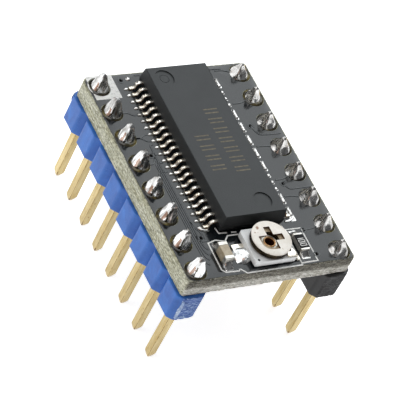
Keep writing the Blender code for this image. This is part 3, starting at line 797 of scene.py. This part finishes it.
def make_flash():
    """Torn flash where the blue strip was snapped off: a pale curl at the front and a flake at the back."""
    low, high = span("header_strip_left")
    curl = []
    for share in shares(12):
        width = 0.08 + 0.1 * math.sin(math.pi * share) + 0.05 * lumps(share * 6)
        x = low.x + STRIP_CHAMFER + 0.02 * math.sin(share * 9)
        y, z = low.y + 0.04, low.z + 0.25 + 1.9 * share
        curl.append([(x - width, y + 0.03, z), (x - 0.02, y - 0.03, z), (x + width, y, z), (x, y + 0.09, z)])
    flake = []
    for share in shares(6):
        width = 0.2 * math.sin(math.pi * (0.15 + 0.8 * share)) * (1 - 0.3 * share)
        x = low.x + 0.25 + 0.03 * math.sin(share * 11)
        y, z = high.y - 0.2, high.z - 0.05 - 0.75 * share
        slant = width * 0.6
        front = [(x - width, y - slant, z), (x + 0.02, y - 0.04, z)]
        flake.append([*front, (x + width, y + slant, z), (x - 0.02, y + 0.05, z)])
    place("header_flash", [(loft(curl), BLUE_SCUFF), (loft(flake), BLUE_SCUFF)], slot="header_blue")


def on_corner(_, normal):
    """Whether a pin's face is on one of its upright corners."""
    return min(abs(normal.x), abs(normal.y)) > 0.3 * (1 - abs(normal.z))


def make_pins():
    """Square pins with coined tips and worn, slightly rounded corners."""
    tip = 0.34
    taper = 0.45
    # Distance from the tip, width and corner radius.
    end = [(0.0, tip - 0.1, 0.08), (0.04, tip, 0.08), (taper * 0.8, PIN_WIDTH - 0.05, 0.07),
           (taper + 0.12, PIN_WIDTH, 0.05)]
    for (side, number), spot in PINS.items():
        node = f"header_pin_{side}_{number}"
        low = span(node)[0].z
        high = TOP + (1.3 if side == "left" else 0.95)
        rng = random.Random(node)
        rings = []
        stations = [(low + z, *rest) for z, *rest in end] + [(high - z, *rest) for z, *rest in end[::-1]]
        for z, width, radius in stations:
            far_out = abs(z - (low + high) / 2) > PIN_WIDTH + 4.5
            lean = rng.uniform(-0.015, 0.015) if far_out else 0.0
            square = around((spot.x + lean, spot.y - lean), width, width, radius, 3)
            rings.append([(x, y, z) for x, y in square])
        piece = place(f"{node}_plated", [(loft(rings), GOLD)], replaces=[node], slot="pin_gold", crease=60.0)
        repaint(piece, WORN_GOLD, on_corner)


def drawn_joint(centre, foot, crown, tall, hollow, ridge, lean, seed):
    """One solder joint: round at the pad and drawn up the square pin, with a ridge at each of its corners."""
    solid = bmesh.new()
    rings = []
    for share in shares(20):
        body = crown + (foot - crown) * (1 - share) ** hollow
        cap = math.sqrt(max(0.0, 1 - (max(0.0, share - 0.84) / 0.16) ** 2))
        axis = centre + lean * share ** 1.5
        ring = []
        for turn in [math.tau * step for step in shares(56)[:-1]]:
            east, north = math.cos(turn), math.sin(turn)
            corner = (0.5 + 0.5 * math.cos(4 * (turn - math.pi / 4))) ** 1.6
            swell = 1 + ridge * (corner - 0.4) * min(1.0, share * 3.0)
            swell += 0.12 * lumps(east * 1.2 + seed, north * 1.2, share * 1.8) * math.sin(math.pi * share)
            swell += 0.03 * lumps(east * 3.5 + seed, north * 3.5, share * 2.5)
            radius = max(0.02, body * swell * max(0.12, cap))
            spot = (axis.x + radius * east, axis.y + radius * north, TOP + 0.01 + tall * share)
            ring.append(solid.verts.new(spot))
        rings.append(ring)
    walls(solid, rings)
    solid.faces.new(rings[0][::-1])
    tip = solid.verts.new((centre.x + lean.x, centre.y + lean.y, TOP + 0.015 + tall))
    for here, after in zip(rings[-1], rings[-1][1:] + rings[-1][:1]):
        solid.faces.new((here, after, tip))
    return solid


def paint_joint_reflections(piece, pin, seed):
    """Painted reflections on a left joint: a warm brown streak and a darker one beside it, low on the side
    turned to the camera.
    """
    def streak(first, last, height):
        def inside(spot, _):
            turn = math.degrees(math.atan2(spot.y - pin.y, spot.x - pin.x)) % 360
            rise = spot.z - TOP
            drift = lumps(seed, rise * 2.2, first)
            return first < turn - 9 * drift < last and rise < height * (1 + 0.3 * drift)
        return inside

    repaint(piece, JOINT_WARM_REFLECTION, streak(195.0, 218.0, 0.9))
    repaint(piece, JOINT_DARK_REFLECTION, streak(223.0, 234.0, 1.0))


def make_solder_joints():
    """Fat blunt joints on the left row; lower, pointed ones on the right row, which lean to the chip."""
    for (side, number), spot in PINS.items():
        node = f"solder_joint_{side}_{number}"
        draw = random.Random(node).uniform
        seed = draw(0, 50)
        if side == "left":
            lean = Vector((draw(-0.1, 0.0), draw(-0.06, 0.06)))
            sizes = draw(0.68, 0.72), draw(0.2, 0.26), draw(1.5, 1.6), draw(1.0, 1.2), 0.26
            centre, finish = spot.xy, JOINT
        else:
            foot = 0.66 if number == 2 else draw(0.78, 0.84)
            lean = Vector((draw(-0.16, -0.08), draw(-0.04, 0.04)))
            sizes = foot, draw(0.12, 0.17), draw(1.18, 1.32), draw(1.2, 1.45), 0.3
            centre, finish = spot.xy + Vector((-0.1, 0.0)), SOLDER
        parts = [(drawn_joint(centre, *sizes, lean, seed), finish)]
        piece = place(f"{node}_fillet", parts, replaces=[node], slot="solder", crease=70.0, flat_faces=False)
        # The left joints get painted warm and dark reflections.
        if side == "left":
            paint_joint_reflections(piece, spot, seed)


# --- Driver chip ---

LEADS_PER_SIDE = 22
LEAD_PITCH = 0.65
LEAD_WIDTH = 0.29
LEAD_THICKNESS = 0.15
LEAD_TOE = 3.82                 # from the chip's middle
LEAD_PATH = [(2.70, 0.66), (3.02, 0.66), (3.2, 0.65), (3.3, 0.56), (3.34, 0.3), (3.42, 0.13), (3.56, 0.105),
             (LEAD_TOE, 0.105)]
PAD_GROUPS = (2, 2, 1, 1, 1, 2, 2, 2, 2, 2, 1, 1, 1, 2)     # right leads that share a pad, from the front


def lead_y(index):
    """Middle of a lead, the first at the front."""
    return CHIP.y + LEAD_PITCH * (index - (LEADS_PER_SIDE - 1) / 2)


def make_mould():
    waist = TOP + 0.66
    draft = 0.13
    edge = 0.05
    top = CHIP_HIGH.z - 0.002
    turns = [math.pi / 2 * (1 - share) for share in shares(3)]
    rise = [(draft - 0.01 + edge * (1 - math.sin(turn)), top - edge * (1 - math.cos(turn))) for turn in turns]
    lower = [(draft + edge * 0.6, CHIP_LOW.z), (draft, CHIP_LOW.z + edge)]
    seam = [(0.012, waist - 0.075), (0.0, waist - 0.06), (0.0, waist + 0.06), (0.012, waist + 0.075)]
    # Ejector marks by centre, as (radius, depth): a ringed one at the back and a plain one in front.
    marks = {
        (-1.65, 7.85): [(0.79, 0.0), (0.775, 0.085), (0.40, 0.09), (0.375, 0.115), (0.355, 0.09)],
        (0.95, -4.61): [(0.76, 0.0), (0.745, 0.09)],
    }
    dimples = []
    for spot, mark in marks.items():
        dimples.append([(circle(radius, 48, spot), top - depth) for radius, depth in mark])
    solid = slab(rounded(CHIP_LOW.xy, CHIP_HIGH.xy, 0.12, 4), lower + seam + rise, dimples=dimples)
    piece = place("chip_moulding", [(solid, EPOXY)], replaces=["chip_mould"], slot="chip_mould", crease=30.0)
    # Painted shade: the side walls get the darker epoxy.
    repaint(piece, EPOXY_WALL_SHADE, lambda _, normal: abs(normal.z) < 0.45)
    repaint(piece, EPOXY_FLOOR, lambda spot, normal: normal.z > 0.9 and top - 0.12 < spot.z < top - 0.03)


def make_mark():
    """Two rows of plain bars where a maker's marking would be."""
    bars = []
    for x, first, count, step in ((0.72, 4.4, 7, 0.95), (-1.22, 1.95, 4, 0.97)):
        for y in [first - step * index - 0.36 * rank for index in range(count) for rank in range(2)]:
            bars.append(flat(around((x, y), 1.25, 0.115, 0.03, 2), CHIP_HIGH.z - 0.006, CHIP_HIGH.z - 0.0005))
    place("chip_marking_bars", [(bar, LASER) for bar in bars], slot="chip_mould", flat_faces=False)


def lead(side, y):
    """One gull-wing lead: a flat strip with eased corners, bent down to its foot."""
    def spot_of(point, across):
        return CHIP.x + side * point.x, y + across, TOP + point.y

    return bent_strip(LEAD_PATH, LEAD_WIDTH / 2, LEAD_THICKNESS / 2, (0.035, 0.035), spot_of)


def make_leads():
    for side, label in ((-1, "left"), (1, "right")):
        parts = [(lead(side, lead_y(index)), TIN) for index in range(LEADS_PER_SIDE)]
        node = f"chip_leads_{label}"
        piece = place(f"{node}_bent", parts, replaces=[node], slot="lead_tin", crease=50.0)
        # Painted shade and warm reflection on the side faces of every lead.
        repaint(piece, LEAD_SIDE_SHADE, lambda _, normal: abs(normal.y) > 0.85)


ALONG_X = (0.0, 1.0)            # a bead along X is wide in Y
ALONG_Y = (1.0, 0.0)


def heel(toe, y, sizes, base):
    """Solder round one lead's foot: (distance from the toe, half width, height) along it."""
    return bead([((toe + x, y), half, height) for x, half, height in sizes], ALONG_X, base, 8)


def make_left_lead_solder():
    """On the left each lead has its own pad."""
    beads = []
    end = CHIP.x - LEAD_TOE
    for index in range(LEADS_PER_SIDE):
        y = lead_y(index)
        beads.append(heel(end, y, ((0.1, 0.15, 0.05), (0.4, 0.15, 0.06), (0.5, 0.13, 0.16)), SOLDER_FOOT))
        rng = random.Random(index)
        half = rng.uniform(0.135, 0.16)
        first = end - 0.44 + rng.uniform(-0.02, 0.02)
        stations = []
        for share in shares(8):
            blunt = math.sqrt(max(0.02, 1 - (2 * share - 1) ** 4))
            stations.append(((first + (end - 0.06 - first) * share, y), half * blunt, 0.11 * blunt))
        beads.append(bead(stations, ALONG_X, SOLDER_FOOT))
    hook = [(-4.4, -5.12), (-4.22, -5.38), (-3.9, -5.52), (-3.55, -5.5)]
    beads.append(line_bead(hook, 0.13, 0.1, SOLDER_FOOT + 0.01))
    place("chip_solder_left", [(part, SOLDER) for part in beads], slot="solder", crease=60.0)


def make_right_lead_solder():
    """On the right some leads share a pad."""
    beads = []
    index = 0
    edge = CHIP.x + LEAD_TOE
    base = SOLDER_FOOT + 0.01
    for count in PAD_GROUPS:
        low, high = lead_y(index) - 0.18, lead_y(index + count - 1) + 0.18
        reach = edge + (0.42 if count > 1 else 0.36)
        pad = rounded((edge - 0.75, low), (reach, high), (0.02, 0.1, 0.1, 0.02), 4)
        beads.append(flat(pad, SOLDER_FOOT, SOLDER_FOOT + 0.022, 0.006))
        stations = []
        for share in shares(10 * count):
            y = low + 0.02 + (high - low - 0.04) * share
            swell = min(1.0, 4.5 * min(share, 1 - share) + 0.25) * (0.85 + 0.22 * lumps(y * 3.1, index))
            stations.append(((reach - 0.19, y), 0.19 * swell, 0.15 * swell))
        beads.append(bead(stations, ALONG_Y, base))
        for y in [lead_y(number) for number in range(index, index + count)]:
            beads.append(heel(edge, y, ((-0.5, 0.13, 0.15), (-0.3, 0.15, 0.08), (0.05, 0.16, 0.12)), base))
        index += count
    beads.append(line_bead([(3.92, -5.2), (3.88, -5.55), (3.5, -5.68), (3.05, -5.7)], 0.12, 0.07, base))
    beads.append(flat(rounded((3.62, -5.78), (4.1, -4.6), 0.06, 3), SOLDER_FOOT, SOLDER_FOOT + 0.04, 0.012))
    place("chip_solder_right", [(part, SOLDER) for part in beads], slot="solder", crease=60.0)
    dome = [(0.0005, 0.0), (0.2, 0.0), (0.17, 0.05), (0.09, 0.085), (0.0005, 0.095)]
    place("filled_via", [(turned(dome, (-3.58, 9.42), 24, LACQUER), SOLDER)], slot="solder", flat_faces=False)


# --- Trimmer ---

SLOT_REACH = 1.04
SLOT_HALF = 0.27
RELIEF = (-0.34, -0.32, 0.71)       # round clearance that opens the slot's front-left corner: x, y, radius
CUP_SEAT = BASE_HIGH.z + 0.06       # underside of the spring cup
FLANGE_SEAT = BASE_HIGH.z + 0.115   # underside of the rivet's flange


def make_trimmer_base():
    hole = circle(0.42, 32, TRIMMER.xy)
    outline = rounded(BASE_LOW.xy, BASE_HIGH.xy, (0.07, 0.1, 0.12, 0.28), 6)
    body = slab(outline, edge_profile(BASE_LOW.z, BASE_HIGH.z, 0.03, 3, rows=3), [hole])
    dome = [(0.0005, -0.01), (0.11, -0.01), (0.1, 0.004), (0.0005, 0.006)]
    dot = turned(dome, (BASE_LOW.x + 0.3, BASE_LOW.y + 0.22), 20, BASE_HIGH.z)
    parts = [(body, BASE_CERAMIC), (dot, OVERCOAT)]
    place("trimmer_ceramic_base", parts, replaces=["trimmer_base"], slot="trimmer_ceramic")


def slot_outline():
    """The driver slot: a square-ended cross, its front-left inner corner opened by a round clearance."""
    reach, half = SLOT_REACH, SLOT_HALF
    x, y, radius = RELIEF
    first = 180 + math.degrees(math.acos(min(1.0, (x + reach) / radius)))
    last = 180 + math.degrees(math.acos((x + half) / radius))
    points = [(half, -half), (reach, -half), (reach, half), (half, half)]
    points += [(half, reach), (-half, reach), (-half, half), (-reach, half)]
    points += [*arc(radius, first, last, 24, (x, y)), (-half, -reach), (half, -reach)]
    eased = []
    for before, here, after in zip(points[-1:] + points[:-1], points, points[1:] + points[:1]):
        short = min(0.03, math.dist(before, here) / 3, math.dist(here, after) / 3)
        for other in (before, after):
            away = (Vector(other) - Vector(here)).normalized() * short
            eased.append((TRIMMER.x + here[0] + away.x, TRIMMER.y + here[1] + away.y))
    return eased


def make_rotor():
    """The rotor: a slotted, lightly domed cap over a spring cup, and the contact arm under it; the cup's
    near-black colour is dark brown metal deepened by painted shade.
    """
    top = span("trimmer_rotor")[1].z
    plate_low = top - 0.14
    x, y = axis = TRIMMER.xy
    cap = slab(circle(1.6, 96, axis), edge_profile(plate_low, top, 0.045, 4), [slot_outline()])
    deep = plate_low - CUP_SEAT
    cup = turned([
        (0.42, 0.0), (1.2, 0.0), (1.42, 0.01), (1.53, 0.05), (1.57, 0.11), (1.57, 0.17), (1.53, 0.2),
        (1.53, 0.23), (1.56, 0.26), (1.57, deep - 0.05), (1.54, deep), (1.24, deep), (1.22, deep - 0.03),
        (1.2, deep - 0.06), (1.17, deep - 0.09), (0.8, deep - 0.09), (0.76, deep - 0.11), (0.74, 0.05),
        (0.42, 0.05),
    ], axis, 96, CUP_SEAT)
    lug = flat(around((x + 1.08, y - 1.1), 0.3, 0.24, 0.06, 3), plate_low - 0.2, plate_low - 0.02, 0.03)
    tongue = flat(around((x - 1.3, y), 0.36, 0.3, 0.08, 3), CUP_SEAT, CUP_SEAT + 0.12, 0.02)
    contact = flat(circle(0.14, 20, (x - 0.985, y)), BASE_HIGH.z + 0.045, CUP_SEAT + 0.05, 0.012)
    parts = [(cap, ROTOR_METAL)] + [(part, DARK_METAL_AND_SHADE) for part in (cup, lug, tongue, contact)]
    piece = place("trimmer_rotor_cap", parts, ROTOR_BODY, ["trimmer_rotor"], "rotor_steel", crease=38.0)

    def slot_wall(spot, normal):
        return abs(normal.z) < 0.3 and (spot.xy - axis).length < 1.2 and spot.z > plate_low

    def cup_floor_painted_light(spot, normal):
        return (spot.xy - axis).length < 1.19 and spot.z < plate_low and normal.z > 0.5

    repaint(piece, SLOT_EDGE, slot_wall)
    # The cup floor under the slot gets painted light.
    repaint(piece, CUP_FLOOR_PAINTED_LIGHT, cup_floor_painted_light)


def make_eyelet():
    """The hollow rivet: a flat bright flange, and a rolled copper lip round its bore."""
    foot = span("trimmer_eyelet")[0].z - FLANGE_SEAT
    flange = turned([
        (0.41, 0.0), (0.68, 0.0), (0.70, 0.015), (0.69, 0.04), (0.62, 0.055),
        (0.60, 0.04), (0.55, 0.04), (0.53, 0.07), (0.46, 0.075), (0.41, 0.06),
    ], TRIMMER.xy, base=FLANGE_SEAT)
    stem = turned([
        (0.3, foot), (0.52, foot), (0.56, foot + 0.01), (0.56, foot + 0.03), (0.52, foot + 0.04),
        (0.41, foot + 0.04), (0.41, 0.0), (0.5, 0.06), (0.5, 0.1), (0.46, 0.13), (0.41, 0.12), (0.37, 0.06),
        (0.33, -0.04), (0.3, -0.14),
    ], TRIMMER.xy, base=FLANGE_SEAT)
    parts = [(flange, FLANGE), (stem, RIVET)]
    piece = place("trimmer_rivet", parts, replaces=["trimmer_eyelet"], slot="eyelet_copper", crease=45.0)
    # The bore wall gets the darkened copper: painted shade inside the hole.
    repaint(piece, BORE_SHADE, lambda spot, _: (spot.xy - TRIMMER.xy).length < 0.37)


def make_terminals():
    """The wiper tag on the left and two clips on the right, each with its solder."""
    low, high = span("trimmer_wiper_terminal")
    tag = flat(rounded(low.xy, (BASE_LOW.x + 0.9, high.y), 0.08, 3), low.z, high.z, 0.02)
    centre_y = (low.y + high.y) / 2 - 0.3
    stations = []
    for share in shares(8):
        x = low.x - 0.18 + (BASE_LOW.x + 0.12 - low.x + 0.18) * share
        stations.append(((x, centre_y), 0.62 + 0.14 * math.sin(math.pi * share), 0.06 + 0.34 * share ** 0.7))
    mound = bead(stations, ALONG_X, SOLDER_FOOT, 16, ripple=0.12, seed=4.0)
    parts = [(tag, TIN), (mound, JOINT)]
    place("trimmer_wiper_tag", parts, replaces=["trimmer_wiper_terminal"], slot="terminal_tin", crease=60.0)
    for label in ("back", "front"):
        node = f"trimmer_end_terminal_{label}"
        low, high = span(node)
        leaf = BASE_HIGH.x + 0.06
        over = [(low.x, high.z - 0.05), (leaf - 0.1, high.z - 0.05), (leaf, high.z - 0.15)]
        path = [*over, (leaf, low.z + 0.12), (high.x - 0.02, low.z + 0.07)]
        half = (high.y - low.y) / 2
        centre_y = (high.y + low.y) / 2

        def spot_of(point, across):
            return point.x, centre_y + across, point.y

        clip = bent_strip(path, half, 0.05, (0.02, 0.015), spot_of)
        stations = []
        for share in shares(6):
            rise = 0.42 * (1 - share) ** 1.3 + 0.04
            stations.append(((leaf + 0.03 + 0.5 * share, centre_y), half * (1.0 - 0.15 * share), rise))
        mound = bead(stations, ALONG_X, SOLDER_FOOT, 14, ripple=0.1, seed=high.y)
        parts = [(clip, TIN), (mound, SOLDER)]
        place(f"{node}_clip", parts, replaces=[node], slot="terminal_tin", crease=60.0)


# --- Chip parts ---

DIGITS = {
    "0": ((-1, 1), (1, 1), (1, 0), (1, -1), (-1, -1), (-1, 0), (-1, 1)),
    "1": ((1, 1), (1, 0), (1, -1)),
}
DIGIT_HALF = (0.095, 0.26)      # across and up
DIGIT_PITCH = 0.33


def plated_ends(low, high, band, half, rise, base, seeds):
    """The (cap, fillet) pairs of a part's two plated ends, the front one first.

    half and rise are the solder fillet's half width and height, and base is its pad.
    """
    x = (low.x + high.x) / 2
    pairs = []
    for edge, towards, seed in ((low.y, -1, seeds[0]), (high.y, 1, seeds[1])):
        start, end = sorted((edge, edge - towards * band))
        cap = slab(rounded((low.x, start), (high.x, end), 0.05, 3), edge_profile(low.z, high.z, 0.05, 3))
        stations = []
        for share in shares(7):
            width = half * (1.0 + 0.06 * math.sin(math.pi * share) - 0.12 * share)
            y = edge + towards * (-0.03 + 0.55 * share)
            stations.append(((x, y), width, rise * (1 - share) ** 1.5 + 0.035))
        pairs.append((cap, bead(stations, ALONG_Y, base, 14, ripple=0.1, seed=seed)))
    return pairs


def place_ends(part, pairs):
    for label, (cap, fillet) in zip(("front", "back"), pairs):
        node = f"{part}_end_cap_{label}"
        parts = [(cap, CAP_TIN), (fillet, SOLDER)]
        place(f"{node}_plating", parts, replaces=[node], slot="end_cap_tin", crease=50.0)


def make_capacitor():
    low, high = span("capacitor_end_cap_front", "capacitor_end_cap_back")
    band = 0.34
    body = block(low, high, (0.02, 0.1), (0.02, 0.02), (0.04, 2), (0.05, 3))
    parts = [(body, CAPACITOR_CERAMIC)]
    place("capacitor_block", parts, replaces=["capacitor_body"], slot="capacitor_ceramic")
    place_ends("capacitor", plated_ends(low, high, band, 0.4, 0.45, SOLDER_FOOT, (low.y, high.y - band)))


def make_resistor():
    low, high = span("resistor_end_cap_front", "resistor_end_cap_back")
    band = 0.2
    body = block(low, high, (0.01, 0.05), (0.01, 0.03), (0.03, 2), (0.02, 2))
    # The grey of the alumina body is painted shade on its side walls.
    place("resistor_block", [(body, ALUMINA_SHADED)], replaces=["resistor_substrate"], slot="alumina")
    coat = block(low, high, (0.02, band - 0.02), (high.z - low.z - 0.04, -0.012), (0.05, 3), (0.02, 2))
    parts = [(coat, OVERCOAT)]
    # Plain seven-segment digits that read along Y.
    centre = (low + high) / 2
    for index, character in enumerate("100"):
        y = centre.y + DIGIT_PITCH * (1 - index)
        width, height = DIGIT_HALF
        ends = [(centre.x + up * height, y - across * width) for across, up in DIGITS[character]]
        for bar in zip(ends, ends[1:]):
            parts.append((flat(line_outline(bar, 0.068), high.z + 0.01, high.z + 0.018), INK))
    place("resistor_glaze", parts, replaces=["resistor_overcoat"], slot="overcoat_black")
    place_ends("resistor", plated_ends(low, high, band, 0.41, 0.3, SOLDER_FOOT, (low.y + band, high.y)))


def make_underside():
    """Chip parts under the board: body, plated ends, the solder that holds them and their printed boxes."""
    resistor = (OVERCOAT, "overcoat_black")
    capacitor = (CAPACITOR_CERAMIC, "capacitor_ceramic")
    kinds = {
        "sense_resistor_left": resistor, "sense_resistor_right": resistor, "pull_up_resistor": resistor,
        "supply_capacitor_left": capacitor, "supply_capacitor_right": capacitor,
        "charge_pump_capacitor": capacitor,
    }
    flip = Matrix.Translation((0, 0, 2 * BOTTOM)) @ Matrix.Scale(-1, 4, (0, 0, 1))
    bars = []
    for node, (finish, slot) in kinds.items():
        low, high = span(node)
        parts = [(block(low, high, (0.02, 0.1), (0.02, 0.02), (0.04, 2), (0.04, 3)), finish)]
        band = min(0.5, (high.y - low.y) * 0.2)
        half = (high.x - low.x) / 2
        rise = (high.z - low.z) * 0.5
        for cap, fillet in plated_ends(low, high, band, half, rise, BOTTOM, (low.y, high.y)):
            bmesh.ops.transform(fillet, matrix=flip, verts=fillet.verts)
            parts += [(cap, CAP_TIN), (fillet, SOLDER)]
        place(f"{node}_mounted", parts, replaces=[node], slot=slot, crease=50.0)
        box = around((low + high) / 2, high.x - low.x + 0.6, high.y - low.y + 1.5)
        for side in zip(box, box[1:] + box[:1]):
            bars.append((flat(line_outline(side, 0.12), BOTTOM - 0.015, BOTTOM - 0.004), INK))
    place("silkscreen_bottom", bars, slot="alumina")


def dress_inner_nodes():
    """Procedural materials for the CAD nodes that show as they are."""
    for node, finish in {"chip_die_pad": COPPER, "chip_die": SILICON, "trimmer_track": FILM}.items():
        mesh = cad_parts[node].data
        mesh.materials.clear()
        mesh.materials.append(finish)


# --- Stage ---

def make_stage():
    mesh = bpy.data.meshes.new("floor")
    solid = bmesh.new()
    bmesh.ops.create_grid(solid, x_segments=1, y_segments=1, size=0.6)
    solid.to_mesh(mesh)
    solid.free()
    floor = bpy.data.objects.new("floor", mesh)
    bpy.context.scene.collection.objects.link(floor)
    paper = Finish("floor_paper", 0.9)
    greys = (0.3, (0.86, 0.86, 0.86, 1.0)), (0.7, (0.88, 0.88, 0.88, 1.0))
    paper.colour(paper.linear_ramp(paper.noise(0.2, 2.0), *greys))
    paper.shader.inputs["Emission Color"].default_value = (1.0, 1.0, 1.0, 1.0)
    paper.shader.inputs["Emission Strength"].default_value = 0.8
    mesh.materials.append(paper.material)


def softbox(name, direction, distance, size, radiance, colour=(1.0, 1.0, 1.0)):
    """A square soft light of this brightness that faces the module from this direction."""
    lamp = bpy.data.lights.new(name, "AREA")
    lamp.size = size
    lamp.energy = radiance * math.pi * size ** 2
    lamp.color = colour
    holder = bpy.data.objects.new(name, lamp)
    towards = Vector(direction).normalized()
    holder.location = Vector((0.0, 0.0, 0.009)) + towards * distance
    holder.rotation_euler = towards.to_track_quat("Z", "Y").to_euler()
    bpy.context.scene.collection.objects.link(holder)


def make_lights():
    """Softboxes behind, overhead and on the left, a weak warm one by the camera, and a dim room."""
    softbox("back_softbox", (0.53, 0.50, 0.70), 0.35, 0.34, 2.3, (0.94, 0.98, 1.0))
    softbox("top_softbox", (-0.15, 0.1, 1.0), 0.4, 0.26, 2.2)
    softbox("left_softbox", (-0.85, 0.42, 0.45), 0.33, 0.3, 1.35)
    softbox("warm_fill", (-0.62, -0.62, 0.5), 0.5, 0.2, 0.8, (1.0, 0.62, 0.45))
    world = bpy.data.worlds.new("studio")
    world.use_nodes = True
    background = world.node_tree.nodes["Background"]
    background.inputs["Color"].default_value = (0.95, 0.97, 1.0, 1.0)
    background.inputs["Strength"].default_value = 0.16
    bpy.context.scene.world = world
    bpy.context.scene.view_settings.view_transform = "Standard"


def make_camera():
    """A long lens above the front-left corner, rolled a little to the left."""
    eye = Vector((-100.367, -94.504, 137.265)) * MM
    right = Vector((0.8424, -0.4103, 0.3493))
    up = Vector((0.1088, 0.7644, 0.6355))
    turn = Matrix((right, up, right.cross(up))).transposed().to_4x4()
    lens = bpy.data.cameras.new("camera")
    lens.sensor_width = 36.0
    lens.lens = 225.0
    lens.clip_start = 0.01
    lens.clip_end = 10.0
    camera = bpy.data.objects.new("camera", lens)
    camera.matrix_world = Matrix.Translation(eye) @ turn
    bpy.context.scene.collection.objects.link(camera)
    bpy.context.scene.camera = camera


make_camera()
make_stage()
make_lights()
make_board()
make_masks()
make_pads()
make_vias()
make_traces()
make_silkscreen()
make_strip("left", BLUE, BLUE_TORN, "header_blue")
make_strip("right", BLACK, BLACK_TORN, "header_black")
make_flash()
make_pins()
make_solder_joints()
make_mould()
make_mark()
make_leads()
make_left_lead_solder()
make_right_lead_solder()
make_trimmer_base()
make_rotor()
make_eyelet()
make_terminals()
make_capacitor()
make_resistor()
make_underside()
dress_inner_nodes()
